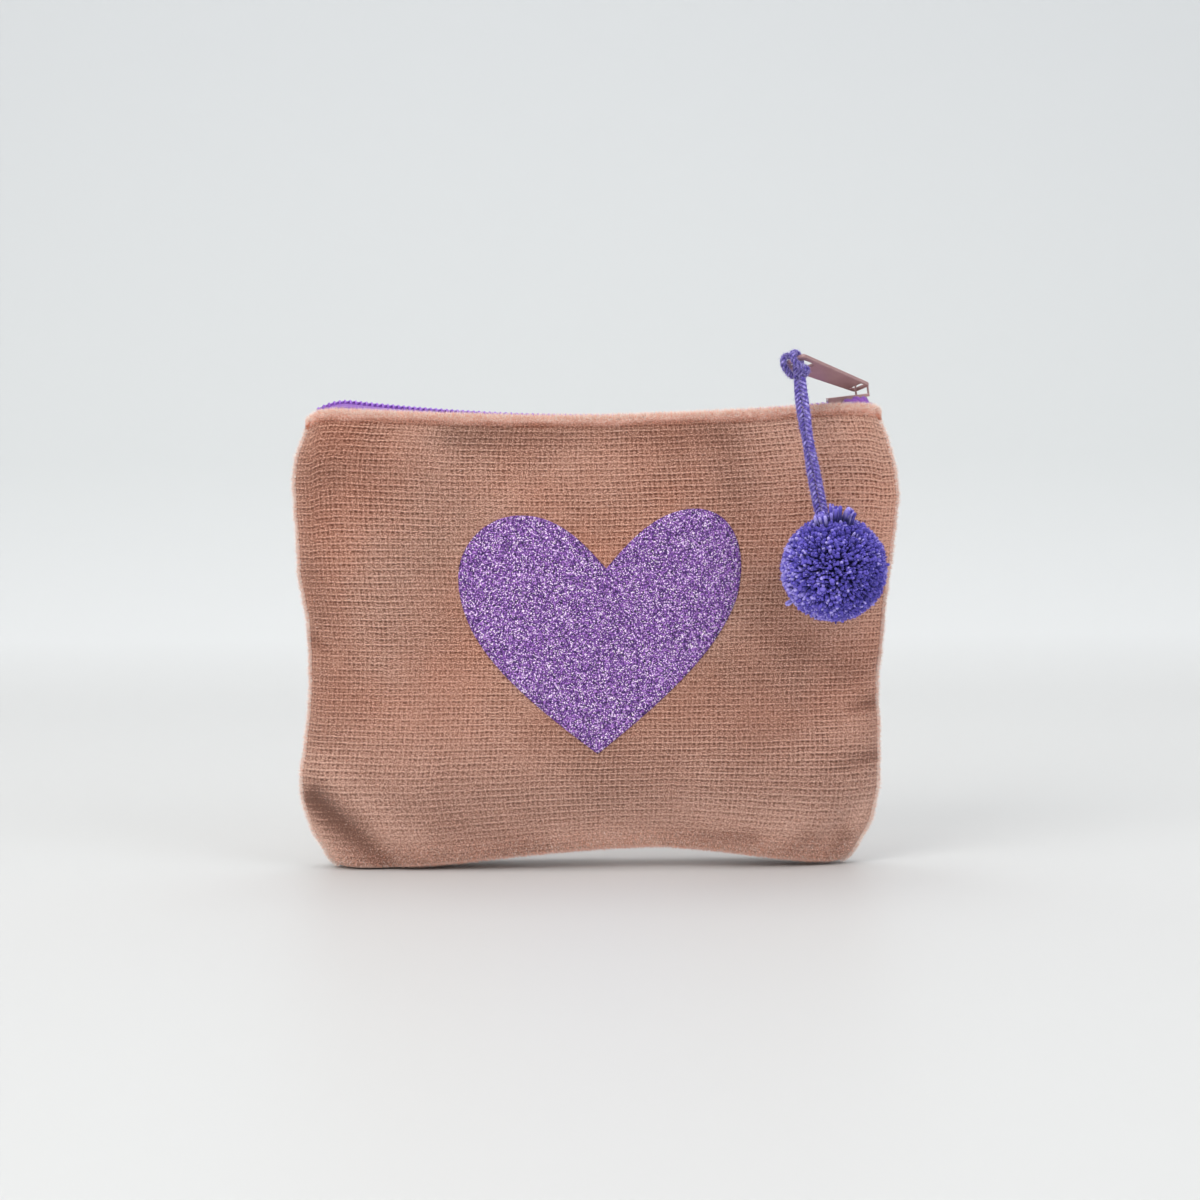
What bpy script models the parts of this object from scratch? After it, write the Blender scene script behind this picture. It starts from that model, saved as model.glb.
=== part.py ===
"""Small velvet cosmetic bag: lined pouch, coil zip, slider with pull tab, and a pompom hung from the tab by a cord."""

import math

import bmesh
import bpy
import numpy as np
from mathutils import Matrix, Vector

for old in list(bpy.data.objects):
    bpy.data.objects.remove(old, do_unlink=True)

MM = 0.001
CLEARANCE = 0.3 * MM

# Pouch: two velvet panels sewn together down the sides and along the bottom, standing on its lower corners.
BAG_HEIGHT = 129.3 * MM
BAG_HALF_WIDTH = 85.1 * MM
BELLY_HALF_DEPTH = 14.5 * MM
SEAM_HALF_GAP = 0.15 * MM
VELVET = 1.2 * MM
LINING = 0.4 * MM
TOP_EDGE_DIP = 2.3 * MM
BASE_ARCH_RISE = 4.8 * MM
BASE_ARCH_HALF_SPAN = 46 * MM
PANEL_COLUMNS = 18
LINING_COLUMNS = 12
SEAM_ROOM = 1.8 * MM
SHELL_SEAM_INSET = VELVET + SEAM_ROOM / 2
LINING_SEAM_INSET = VELVET + LINING + SEAM_ROOM + SEAM_ROOM / 2
FACE_INSET_GROWTH = 3.0
TOP_HALF_WIDTH_SHARE = 0.940
TOP_HALF_WIDTH = BAG_HALF_WIDTH * TOP_HALF_WIDTH_SHARE
MERGE_DISTANCE = 0.003 * MM
SMOOTH_ANGLE = math.radians(40)

# Half width of the pouch up its side, as (height share, half width share).
side_outline_shares = (
    (0.026, 0.864), (0.076, 0.905), (0.115, 0.940), (0.155, 0.958), (0.21, 0.967), (0.34, 0.950),
    (0.51, 0.946), (0.62, 0.968), (0.69, 0.987), (0.81, 1.0), (0.91, 0.975), (1.0, TOP_HALF_WIDTH_SHARE),
)
# One row of the panel each, from the bottom seam up, as (height share, half depth share, half width share
# where the row lies under the side outline, else 0). The first three rows lie flat on the ground.
panel_row_shares = (
    (0.0, 0.0, 0.73), (0.0, 0.30, 0.77), (0.0, 0.60, 0.80), (0.012, 0.74, 0.835), (0.045, 0.86, 0.0),
    (0.10, 0.94, 0.0), (0.18, 0.985, 0.0), (0.28, 1.0, 0.0), (0.38, 0.98, 0.0), (0.47, 0.93, 0.0),
    (0.55, 0.88, 0.0), (0.63, 0.845, 0.0), (0.72, 0.81, 0.0), (0.81, 0.78, 0.0), (0.90, 0.74, 0.0),
    (1.0, 0.70, 0.0),
)
# The lining takes some of these rows and ends in its own, under the zip's tape.
LINING_TOP_ROW_SHARES = (0.945, 0.72, 0.0)
# Squareness of the plan section, as (height share, exponent): a soft lens at the belly, straight sides at the zip.
plan_square_shares = ((0.0, 5.0), (0.2, 3.2), (0.6, 3.0), (0.85, 6.0), (1.0, 13.0))
ARCH_FADE_SHARE = 0.25
DIP_START_SHARE = 0.6
DIP_SHARPNESS = 1.5

# Heart: a thin transfer on the front panel. Half outline as cubic curves, (across share, up share).
HEART_HALF_WIDTH = 39.3 * MM
HEART_HEIGHT = 67.3 * MM
HEART_TIP_HEIGHT = 32.0 * MM
HEART_CENTRE_X = 1.0 * MM
HEART_TILT = math.radians(-1.0)
HEART_FILM = 0.2 * MM
HEART_SLICE = 8.0 * MM
HEART_CURVE_STEPS = 7
heart_notch_shares = (0.0, 0.767)
heart_curve_shares = (
    ((0.14, 0.86), (0.33, 1.0), (0.62, 1.0)),
    ((0.83, 1.0), (1.0, 0.90), (1.0, 0.75)),
    ((1.0, 0.50), (0.62, 0.28), (0.0, 0.0)),
)

# Zip: two coils on two tapes, along an arc whose lowest place lies a little right of the middle of the mouth.
ZIP_DROP = 3.8 * MM
ZIP_LOW_X = 5.0 * MM
ZIP_RADIUS = 600.0 * MM
ZIP_CENTRE_HEIGHT = BAG_HEIGHT - ZIP_DROP + ZIP_RADIUS
COIL_END_ROOM = 4.0 * MM
COIL_HALF_LENGTH = TOP_HALF_WIDTH - COIL_END_ROOM
COIL_PITCH = 1.5 * MM
COIL_WIRE = 0.45 * MM
COIL_LOOP_HEIGHT = 1.6 * MM
COIL_HEAD_OVERLAP = 0.6 * MM
COIL_BACK = 3.0 * MM
CORE_CORD = 0.45 * MM
TAPE = 0.45 * MM
TAPE_EDGE = 1.6 * MM
TAPE_END_ROOM = 3.6 * MM
TAPE_HALF_LENGTH = TOP_HALF_WIDTH - TAPE_END_ROOM
TAPE_TURN_DOWN = 5.0 * MM
TAPE_STEPS = 36
TAPE_TOP = -(COIL_LOOP_HEIGHT + COIL_WIRE) / 2 - CLEARANCE
TAPE_BOTTOM = TAPE_TOP - TAPE

# Slider, in its own frame: x along the zip towards the side seam, y across, z above the coil's centre line.
SLIDER_END_ROOM = 5.9 * MM
SLIDER_CLOSED_PLACE = COIL_HALF_LENGTH - SLIDER_END_ROOM
SLIDER_HALF_LENGTH = 5.8 * MM
SLIDER_STATIONS = 14
SLIDER_TAIL_HALF_WIDTH = 4.1 * MM
SLIDER_SHOULDER_HALF_WIDTH = 5.0 * MM
SLIDER_NOSE_HALF_WIDTH = 4.2 * MM
SLIDER_PLATE = 0.75 * MM
SLIDER_WALL = 0.6 * MM
SLIDER_TOP = (COIL_LOOP_HEIGHT + COIL_WIRE) / 2 + CLEARANCE
SLIDER_BOTTOM = TAPE_BOTTOM - CLEARANCE
SLIDER_FLANGE_END = 0.4 * MM
SLIDER_WAIST = 4.0 * MM
SLIDER_SHOULDER = 1.5 * MM
SLIDER_EDGE_ROUND = 0.22 * MM
EDGE_ROUND_ANGLE = math.radians(50)
DIVIDER_HALF_WIDTH = 0.85 * MM
DIVIDER_BACK = 1.6 * MM
DIVIDER_WIDEST = 3.6 * MM
DIVIDER_FRONT = 5.2 * MM
COIL_PARTING = 1.8 * MM
COIL_PARTING_START = -2.6 * MM
COIL_PARTING_END = 3.8 * MM
CROWN_INNER_RADIUS = 1.45 * MM
CROWN_STOCK = 0.5 * MM
CROWN_WIDTH = 0.8 * MM
CROWN_SET = 4.1 * MM
CROWN_STEPS = 10
FUSE = 0.3 * MM

# Pull tab, in its own frame: x from the crown to the free end, y towards the near edge, z out of its upper face.
TAB_LENGTH = 28.6 * MM
TAB_THICKNESS = 1.0 * MM
TAB_PIVOT_HALF_WIDTH = 2.95 * MM
TAB_END_HALF_WIDTH = 4.6 * MM
TAB_CORNER = 1.3 * MM
CORNER_STEPS = 4
TAB_PIVOT_BAR = 0.9 * MM
TAB_ARM = 0.7 * MM
TAB_SLOT_LENGTH = 2.2 * MM
TAB_END_BAR = 1.6 * MM
TAB_HOLE_LENGTH = 5.0 * MM
TAB_HOLE_HALF_WIDTH = 2.7 * MM
TAB_EDGE_ROUND = 0.2 * MM
TAB_HEIGHT_OVER_PLATE = 1.95 * MM
tab_direction_shares = (-0.715, -0.635, 0.265)
TAB_ROLL = math.radians(19)

# Cord: a doubled yarn cord hitched round the tab's end bar, ending inside the pompom.
CORD = 1.9 * MM
CORD_HALF_SPACING = 1.1 * MM
HITCH_FALL = 4.2 * MM
HITCH_STEPS = 40
HITCH_CLEARANCE = 0.45 * MM
CURVE_FINENESS = 8
CORD_STEPS = 20
CORD_BREAK = 0.6 * MM
CORD_LEAVE = 10 * MM
CORD_ARRIVE = 20 * MM
cord_end_shares = (0.21, -0.20, -0.96)
STRAND_TURN_SHARE = 0.3
# Half of the hitch. Each place has the shares of six lengths: along the tab, the distance beside the bar and the
# cords' distance apart; across it, the strands' half spacing and the distance apart; out of it, over the bar and the fall.
half_hitch_shares = (
    (-1.0, 0.0, 1.0, 0.0, 0.0, -1.0), (-1.0, 0.0, 1.0, 0.0, 0.0, -0.5), (-1.0, 0.0, 1.0, 0.0, 0.0, 0.0),
    (-0.6, 0.0, 1.15, 0.0, 0.85, 0.0), (0.1, 0.0, 1.4, 0.0, 1.12, 0.0), (0.85, 0.0, 1.65, 0.0, 0.75, 0.0),
    (1.08, 0.0, 1.9, 0.0, 0.0, 0.0), (0.75, 0.0, 2.15, 0.0, -1.0, 0.0), (-0.1, 0.0, 2.5, 0.0, -1.45, 0.0),
    (-1.0, 0.0, 1.0, 1.0, -1.75, 0.0), (-1.0, -0.75, 1.5, 0.0, -1.85, 0.0), (-1.0, -1.0, 0.0, 0.0, -1.9, 0.0),
)

# Pompom: a ball of cut yarn tied at its middle, with a narrow well where the cord goes in.
POMPOM_RADIUS = 14.5 * MM
POMPOM_HANG = Vector((8.4 * MM, -10.6 * MM, -51.6 * MM))
POMPOM_WELL_RADIUS = 2.6 * MM
POMPOM_WELL_LIP = 1.2 * MM
POMPOM_RINGS = 14
POMPOM_SIDES = 24
TIE_RADIUS = 2.1 * MM
TIE_LENGTH = 3.0 * MM

# Sewing thread.
THREAD = 0.4 * MM
SEAM_STITCH = 8.0 * MM
ZIP_STITCH = 7.5 * MM
STITCH_HALF_REACH = 0.5 * MM


def material(name, colour, roughness, metallic=0.0):
    made = bpy.data.materials.new(name)
    made.use_nodes = True
    shader = made.node_tree.nodes["Principled BSDF"]
    shader.inputs["Base Color"].default_value = (*colour, 1.0)
    shader.inputs["Roughness"].default_value = roughness
    shader.inputs["Metallic"].default_value = metallic
    return made


def place(name, data, finish, matrix=None, carrier=None):
    """Puts a mesh or curve in the scene as a named piece, carried by another piece or empty where it moves."""
    piece = bpy.data.objects.new(name, data)
    data.materials.append(finish)
    bpy.context.collection.objects.link(piece)
    if matrix is not None:
        piece.matrix_world = matrix
    bpy.context.view_layer.update()
    if carrier is not None:
        kept = piece.matrix_world.copy()
        piece.parent = carrier
        piece.matrix_parent_inverse = carrier.matrix_world.inverted()
        piece.matrix_world = kept
    return piece


def mesh_from(bm, name):
    bmesh.ops.recalc_face_normals(bm, faces=bm.faces)
    mesh = bpy.data.meshes.new(name)
    bm.to_mesh(mesh)
    bm.free()
    mesh.shade_smooth()
    mesh.set_sharp_from_angle(angle=SMOOTH_ANGLE)
    return mesh


def along(table, at):
    return float(np.interp(at, [row[0] for row in table], [row[1] for row in table]))


# Pouch surface

def half_width(height_share, own_share=0.0):
    return BAG_HALF_WIDTH * (own_share or along(side_outline_shares, height_share))


def plan_fullness(across, height_share):
    """How deep the pouch is at a place across it, 1 at the middle and 0 at the side seam."""
    exponent = along(plan_square_shares, height_share)
    return math.sqrt(max(0.0, 1.0 - abs(across) ** exponent))


def arch_rise(x, height_share):
    if abs(x) > BASE_ARCH_HALF_SPAN or height_share > ARCH_FADE_SHARE:
        return 0.0
    wave = (1.0 + math.cos(math.pi * x / BASE_ARCH_HALF_SPAN)) / 2
    return BASE_ARCH_RISE * wave * (1.0 - height_share / ARCH_FADE_SHARE)


def top_dip(across, height_share):
    if height_share < DIP_START_SHARE:
        return 0.0
    fade = (height_share - DIP_START_SHARE) / (1.0 - DIP_START_SHARE)
    return TOP_EDGE_DIP * fade * max(0.0, math.cos(across * math.pi / 2)) ** DIP_SHARPNESS


def pouch_point(across, row, seam_inset, face_inset, facing):
    """Point on a wall of the pouch. across runs from -1 to 1, and the insets are depths below the velvet's outer
    face, at the seams and at the face."""
    height_share, depth_share, own_share = row
    x = (half_width(height_share, own_share) - seam_inset) * across
    inset = face_inset * min(1.0, depth_share * FACE_INSET_GROWTH)
    depth = max(BELLY_HALF_DEPTH * depth_share - inset, 0.0)
    y = SEAM_HALF_GAP + depth * plan_fullness(across, height_share)
    z = BAG_HEIGHT * height_share + seam_inset * (1.0 - height_share)
    z += arch_rise(x, height_share) - top_dip(across, height_share)
    return Vector((x, facing * y, z))


def wall_depth(x, z, inset):
    """Distance from the seam plane to the panel's surface, inset below its outer face, above the base."""
    columns = spaced(PANEL_COLUMNS)
    levels = []
    for height_share, depth_share, own_share in panel_row_shares[3:]:
        across = x / (half_width(height_share, own_share) - inset)
        fullness = float(np.interp(across, columns, [plan_fullness(place, height_share) for place in columns]))
        level = BAG_HEIGHT * height_share - top_dip(across, height_share)
        levels.append((level, SEAM_HALF_GAP + (BELLY_HALF_DEPTH * depth_share - inset) * fullness))
    return along(levels, z)


def spaced(count):
    """Places from -1 to 1, closer together towards the ends."""
    return [math.sin(math.pi / 2 * (2 * i / count - 1)) for i in range(count + 1)]


def pouch_layer(name, rows, columns, seam_inset, face_inset, thickness, facing, finish, top_edge=None):
    """One cloth wall of the pouch: a grid laid on the pouch's surface and extruded to its thickness."""
    bm = bmesh.new()
    across_of = bm.verts.layers.float.new("across")
    row_of = bm.verts.layers.int.new("row")
    grid = {}
    for i, across in enumerate(spaced(columns)):
        for j in range(len(rows)):
            vert = grid[i, j] = bm.verts.new()
            vert[across_of] = across
            vert[row_of] = j
    for i in range(columns):
        for j in range(len(rows) - 1):
            bm.faces.new((grid[i, j], grid[i + 1, j], grid[i + 1, j + 1], grid[i, j + 1]))
    outside = set(bm.verts)
    bmesh.ops.extrude_face_region(bm, geom=bm.faces[:], use_keep_orig=True)
    for vert in bm.verts:
        deeper = 0.0 if vert in outside else thickness
        row = rows[vert[row_of]]
        vert.co = pouch_point(vert[across_of], row, seam_inset + deeper, face_inset + deeper, facing)
        if top_edge is not None and row is rows[-1]:
            vert.co.z = top_edge(vert.co.x)
    return place(name, mesh_from(bm, name), finish)


velvet = material("velvet", (0.400, 0.214, 0.161), 0.9)
cotton = material("lining_cotton", (0.62, 0.42, 0.36), 0.85)
FRONT, BACK = -1.0, 1.0
front_panel = pouch_layer("front_panel", panel_row_shares, PANEL_COLUMNS, 0.0, 0.0, VELVET, FRONT, velvet)
back_panel = pouch_layer("back_panel", panel_row_shares, PANEL_COLUMNS, 0.0, 0.0, VELVET, BACK, velvet)


# Heart transfer: the outline is filled, sliced into cells, laid on the front panel and extruded to a film.

def cubic(a, b, c, d, t):
    s = 1.0 - t
    return tuple(s**3 * p + 3 * s * s * t * q + 3 * s * t * t * r + t**3 * w for p, q, r, w in zip(a, b, c, d))


def heart_outline():
    start = heart_notch_shares
    half = [start]
    for second, third, last in heart_curve_shares:
        steps = range(1, HEART_CURVE_STEPS + 1)
        half += [cubic(start, second, third, last, k / HEART_CURVE_STEPS) for k in steps]
        start = last
    return half + [(-x, z) for x, z in reversed(half[1:-1])]


def heart_print(name, finish):
    bm = bmesh.new()
    turn = Matrix.Rotation(HEART_TILT, 3, "Y")
    ring = []
    for across, up in heart_outline():
        flat = turn @ Vector((across * HEART_HALF_WIDTH, 0.0, up * HEART_HEIGHT))
        ring.append(bm.verts.new((flat.x + HEART_CENTRE_X, 0.0, flat.z + HEART_TIP_HEIGHT)))
    bm.faces.new(ring)
    for normal, low, high in (
        (Vector((1, 0, 0)), -HEART_HALF_WIDTH, HEART_HALF_WIDTH),
        (Vector((0, 0, 1)), HEART_TIP_HEIGHT, HEART_TIP_HEIGHT + HEART_HEIGHT),
    ):
        count = int((high - low) / HEART_SLICE)
        for k in range(1, count + 1):
            at = normal * (low + k * (high - low) / (count + 1))
            bmesh.ops.bisect_plane(bm, geom=bm.verts[:] + bm.edges[:] + bm.faces[:], plane_co=at, plane_no=normal)
    bmesh.ops.triangulate(bm, faces=bm.faces[:])
    under = set(bm.verts)
    bmesh.ops.extrude_face_region(bm, geom=bm.faces[:], use_keep_orig=True)
    for vert in bm.verts:
        lift = CLEARANCE if vert in under else CLEARANCE + HEART_FILM
        vert.co.y = -(wall_depth(vert.co.x, vert.co.z, 0.0) + lift)
    return place(name, mesh_from(bm, name), finish, carrier=front_panel)


heart_film = material("heart_film", (0.26, 0.13, 0.37), 0.35, 0.3)
heart_print("heart_print", heart_film)


# Zip chain

def zip_frame(arc_length):
    """Frame of a place along the zip, measured from the bag's middle: x along it, y across, z out of the bag."""
    turned = Matrix.Rotation((ZIP_LOW_X - arc_length) / ZIP_RADIUS, 4, "Y")
    return Matrix.Translation((ZIP_LOW_X, 0, ZIP_CENTRE_HEIGHT)) @ turned @ Matrix.Translation((0, 0, -ZIP_RADIUS))


def tube(name, points, diameter, finish, sides_step=2, matrix=None, carrier=None):
    """A cord, wire or thread: a bevelled curve with filled ends through the points."""
    data = bpy.data.curves.new(name, "CURVE")
    data.dimensions = "3D"
    data.bevel_depth = diameter / 2
    data.bevel_resolution = sides_step
    data.use_fill_caps = True
    spline = data.splines.new("POLY")
    spline.points.add(len(points) - 1)
    for point, place_at in zip(spline.points, points):
        point.co = (*place_at, 1.0)
    return place(name, data, finish, matrix, carrier)


def smooth_step(t):
    t = min(1.0, max(0.0, t))
    return t * t * (3 - 2 * t)


def coil_shift(arc_length):
    """How far the coils stand apart where the slider's divider holds them open."""
    start = SLIDER_CLOSED_PLACE + COIL_PARTING_START
    end = SLIDER_CLOSED_PLACE + COIL_PARTING_END
    return COIL_PARTING * smooth_step((arc_length - start) / (end - start))


def coil_points(facing):
    """One unbroken flattened helix: across the top to the head, down, back along the bottom, up at the tape."""
    head = -facing * (COIL_HEAD_OVERLAP - COIL_WIRE / 2)
    back = facing * (COIL_BACK - COIL_WIRE / 2)
    high = COIL_LOOP_HEIGHT / 2
    turns = int(2 * COIL_HALF_LENGTH / COIL_PITCH)
    offset = 0.0 if facing == FRONT else COIL_PITCH / 2
    points = []
    for k in range(turns):
        at = -COIL_HALF_LENGTH + offset + k * COIL_PITCH
        shift = facing * coil_shift(at)
        for y, z in ((back, high), (head, high), (head, -high), (back, -high)):
            points.append(zip_frame(at) @ Vector((0, y + shift, z)))
    return points


def tape_outer(arc_length):
    """Where the tape meets the velvet: the narrowest place of the mouth over the turned-down height."""
    top = zip_frame(arc_length) @ Vector((0, 0, TAPE_TOP))
    levels = (top.z, top.z - TAPE_TURN_DOWN / 2, top.z - TAPE_TURN_DOWN)
    return min(wall_depth(top.x, level, VELVET) for level in levels) - CLEARANCE


def tape(name, facing, finish):
    """Woven tape: level from under the coil to the velvet, then turned down inside the velvet's edge."""
    bm = bmesh.new()
    loops = []
    for k in range(TAPE_STEPS + 1):
        arc_length = TAPE_HALF_LENGTH * (2 * k / TAPE_STEPS - 1)
        frame = zip_frame(arc_length)
        outer = tape_outer(arc_length)
        low = TAPE_TOP - TAPE_TURN_DOWN
        section = (
            (TAPE_EDGE + coil_shift(arc_length) / 2, TAPE_TOP), (outer, TAPE_TOP), (outer, low),
            (outer - TAPE, low), (outer - TAPE, TAPE_BOTTOM), (TAPE_EDGE + coil_shift(arc_length) / 2, TAPE_BOTTOM),
        )
        loops.append([bm.verts.new(frame @ Vector((0, facing * y, z))) for y, z in section])
    for a, b in zip(loops, loops[1:]):
        for i in range(len(a)):
            j = (i + 1) % len(a)
            bm.faces.new((a[i], a[j], b[j], b[i]))
    bm.faces.new(loops[0])
    bm.faces.new(loops[-1])
    return place(name, mesh_from(bm, name), finish)


def lining_top(x):
    """Height of the lining's top edge, just under the turned-down tape."""
    level = zip_frame(x) @ Vector((0, 0, TAPE_TOP))
    return level.z - TAPE_TURN_DOWN - CLEARANCE


lining_rows = panel_row_shares[0:2] + panel_row_shares[3:5] + panel_row_shares[6:13:2] + (LINING_TOP_ROW_SHARES,)
zip_nylon = material("zip_nylon", (0.30, 0.09, 0.62), 0.4)
zip_cloth = material("zip_cloth", (0.25, 0.08, 0.50), 0.8)
thread_yarn = material("sewing_thread", (0.50, 0.28, 0.22), 0.8)
for side, facing in (("front", FRONT), ("back", BACK)):
    seam_inset = VELVET + SEAM_ROOM
    face_inset = VELVET + CLEARANCE
    pouch_layer(
        f"{side}_lining", lining_rows, LINING_COLUMNS, seam_inset, face_inset, LINING, facing, cotton, lining_top
    )
    tape(f"zip_tape_{side}", facing, zip_cloth)
    tube(f"zip_coil_{side}", coil_points(facing), COIL_WIRE, zip_nylon, 0)
    core = []
    for k in range(TAPE_STEPS + 1):
        arc_length = COIL_HALF_LENGTH * (2 * k / TAPE_STEPS - 1)
        middle = facing * (COIL_BACK - COIL_HEAD_OVERLAP + coil_shift(arc_length))
        core.append(zip_frame(arc_length) @ Vector((0, middle - facing * COIL_WIRE, 0)))
    tube(f"zip_core_{side}", core, CORE_CORD, zip_cloth, 0)


# Sewing threads

def resampled(path, step):
    """Points a step apart along a path."""
    lengths = [0.0]
    for a, b in zip(path, path[1:]):
        lengths.append(lengths[-1] + (b - a).length)
    count = max(2, round(lengths[-1] / step))
    stations = [lengths[-1] * k / count for k in range(count + 1)]
    axes = [np.interp(stations, lengths, [point[axis] for point in path]) for axis in range(3)]
    return [Vector(values) for values in zip(*axes)]


def seam_thread(name, rows, inset):
    """The thread of the side and bottom seams: zigzag stitches just inside the joined edges of the rows' ends."""
    up_side = []
    for height_share, depth_share, own_share in rows:
        if height_share > 0.0:
            x = half_width(height_share, own_share) - inset
            up_side.append(Vector((x, 0, BAG_HEIGHT * height_share + inset * (1 - height_share))))
    bottom = half_width(0.0, rows[0][2]) - inset
    crosswise = [bottom * across for across in spaced(PANEL_COLUMNS)]
    base = [Vector((x, 0, inset + arch_rise(x, 0.0))) for x in crosswise]
    down_side = [Vector((-point.x, 0, point.z)) for point in reversed(up_side)]
    points = resampled(down_side + base + up_side, SEAM_STITCH / 2)
    for k, point in enumerate(points):
        point.y = STITCH_HALF_REACH * (1 if k % 2 else -1)
    tube(name, points, THREAD, thread_yarn, 0)


seam_thread("shell_seam_thread", panel_row_shares[:-1], SHELL_SEAM_INSET)
seam_thread("lining_seam_thread", lining_rows, LINING_SEAM_INSET)
for side, facing in (("front", FRONT), ("back", BACK)):
    points = []
    count = int(2 * COIL_HALF_LENGTH / (ZIP_STITCH / 2))
    for k in range(1, count):
        arc_length = COIL_HALF_LENGTH * (2 * k / count - 1)
        y = facing * (tape_outer(arc_length) - TAPE - CLEARANCE - THREAD / 2)
        reach = STITCH_HALF_REACH * (1 if k % 2 else -1)
        points.append(zip_frame(arc_length) @ Vector((0, y, TAPE_TOP - TAPE_TURN_DOWN / 2 + reach)))
    tube(f"zip_seam_thread_{side}", points, THREAD, thread_yarn, 0)


# Slider: two plates joined by the divider between the coils, flanges over the tape, and the crown on top.

def slider_half_width(x):
    if x < SLIDER_SHOULDER:
        grown = smooth_step((x + SLIDER_WAIST) / (SLIDER_SHOULDER + SLIDER_WAIST))
        return SLIDER_TAIL_HALF_WIDTH + grown * (SLIDER_SHOULDER_HALF_WIDTH - SLIDER_TAIL_HALF_WIDTH)
    closing = smooth_step((x - SLIDER_SHOULDER) / (SLIDER_HALF_LENGTH - SLIDER_SHOULDER))
    return SLIDER_SHOULDER_HALF_WIDTH + closing * (SLIDER_NOSE_HALF_WIDTH - SLIDER_SHOULDER_HALF_WIDTH)


def prism(outline, low, high, upright=False):
    """An outline extruded between two levels, along z, or along y when upright."""
    bm = bmesh.new()
    ring = [bm.verts.new((a, low, b) if upright else (a, b, low)) for a, b in outline]
    face = bm.faces.new(ring)
    raised = bmesh.ops.extrude_face_region(bm, geom=[face], use_keep_orig=True)
    lift = Vector((0, high - low, 0)) if upright else Vector((0, 0, high - low))
    bmesh.ops.translate(bm, verts=[v for v in raised["geom"] if isinstance(v, bmesh.types.BMVert)], vec=lift)
    return bm


def guide(bm, name, matrix):
    """A hidden shape that a Boolean joins to a piece or cuts from it."""
    made = place(name, mesh_from(bm, name), coated_metal, matrix)
    made.hide_render = True
    made.display_type = "WIRE"
    return made


def combine(piece, other, operation):
    step = piece.modifiers.new(other.name, "BOOLEAN")
    step.operation = operation
    step.object = other


def round_edges(piece, width):
    bevel = piece.modifiers.new("edge_round", "BEVEL")
    bevel.width = width
    bevel.segments = 1
    bevel.limit_method = "ANGLE"
    bevel.angle_limit = EDGE_ROUND_ANGLE


coated_metal = material("coated_metal", (0.42, 0.24, 0.24), 0.4, 0.2)
slider_frame = zip_frame(SLIDER_CLOSED_PLACE)
stations = [SLIDER_HALF_LENGTH * (2 * k / SLIDER_STATIONS - 1) for k in range(SLIDER_STATIONS + 1)]
half_plan = [(x, slider_half_width(x)) for x in stations]
plate_plan = half_plan + [(x, -y) for x, y in reversed(half_plan)]
plate_top = SLIDER_TOP + SLIDER_PLATE
slider = place("slider_body", mesh_from(prism(plate_plan, SLIDER_TOP, plate_top), "slider_body"), coated_metal,
               slider_frame)
base_plate = prism(plate_plan, SLIDER_BOTTOM - SLIDER_PLATE, SLIDER_BOTTOM)
combine(slider, guide(base_plate, "slider_base_guide", slider_frame), "UNION")
divider_plan = (
    (DIVIDER_BACK, 0.0), (DIVIDER_WIDEST, -DIVIDER_HALF_WIDTH), (DIVIDER_FRONT, 0.0),
    (DIVIDER_WIDEST, DIVIDER_HALF_WIDTH),
)
divider = prism(divider_plan, SLIDER_BOTTOM - FUSE, SLIDER_TOP + FUSE)
combine(slider, guide(divider, "slider_divider_guide", slider_frame), "UNION")
flange_plan = [(x, y) for x, y in half_plan if x <= SLIDER_FLANGE_END + SLIDER_WALL]
for sign, side in ((-1, "front"), (1, "back")):
    outer = [(x, sign * y) for x, y in flange_plan]
    inner = [(x, sign * (y - SLIDER_WALL)) for x, y in reversed(flange_plan)]
    flange = prism(outer + inner, TAPE_TOP + CLEARANCE, SLIDER_TOP + FUSE)
    combine(slider, guide(flange, f"slider_{side}_flange_guide", slider_frame), "UNION")
crown_centre = Vector((CROWN_SET, 0, plate_top + TAB_HEIGHT_OVER_PLATE))
arcs = [math.pi * k / CROWN_STEPS for k in range(CROWN_STEPS + 1)]
outer_radius = CROWN_INNER_RADIUS + CROWN_STOCK


def crown_side(radius):
    arch = [(CROWN_SET + radius * math.cos(a), crown_centre.z + radius * math.sin(a)) for a in arcs]
    foot = plate_top - FUSE
    return [(CROWN_SET + radius, foot)] + arch + [(CROWN_SET - radius, foot)]


crown_outline = crown_side(outer_radius) + list(reversed(crown_side(CROWN_INNER_RADIUS)))
crown = prism(crown_outline, -CROWN_WIDTH / 2, CROWN_WIDTH / 2, upright=True)
combine(slider, guide(crown, "slider_crown_guide", slider_frame), "UNION")
round_edges(slider, SLIDER_EDGE_ROUND)


# Pull tab: a flat blade with a slot round the crown and a hole for the cord behind its end bar.

tab_along = Vector(tab_direction_shares).normalized()
level_across = Vector((0, 0, 1)).cross(tab_along).normalized()
tab_across = math.cos(TAB_ROLL) * level_across + math.sin(TAB_ROLL) * tab_along.cross(level_across)
tab_out = tab_along.cross(tab_across)
tab_axes = Matrix((tab_along, tab_across, tab_out)).transposed().to_4x4()
tab_frame = Matrix.Translation(slider_frame @ crown_centre) @ tab_axes


def rounded_outline(corners, radius):
    """A closed outline with each corner turned on an arc-like curve."""
    points = []
    for k, corner in enumerate(corners):
        here = Vector(corner)
        before = (Vector(corners[k - 1]) - here).normalized() * radius
        after = (Vector(corners[(k + 1) % len(corners)]) - here).normalized() * radius
        for step in range(CORNER_STEPS + 1):
            t = step / CORNER_STEPS
            points.append(tuple(here + before * (1 - t) ** 2 + after * t**2))
    return points


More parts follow.
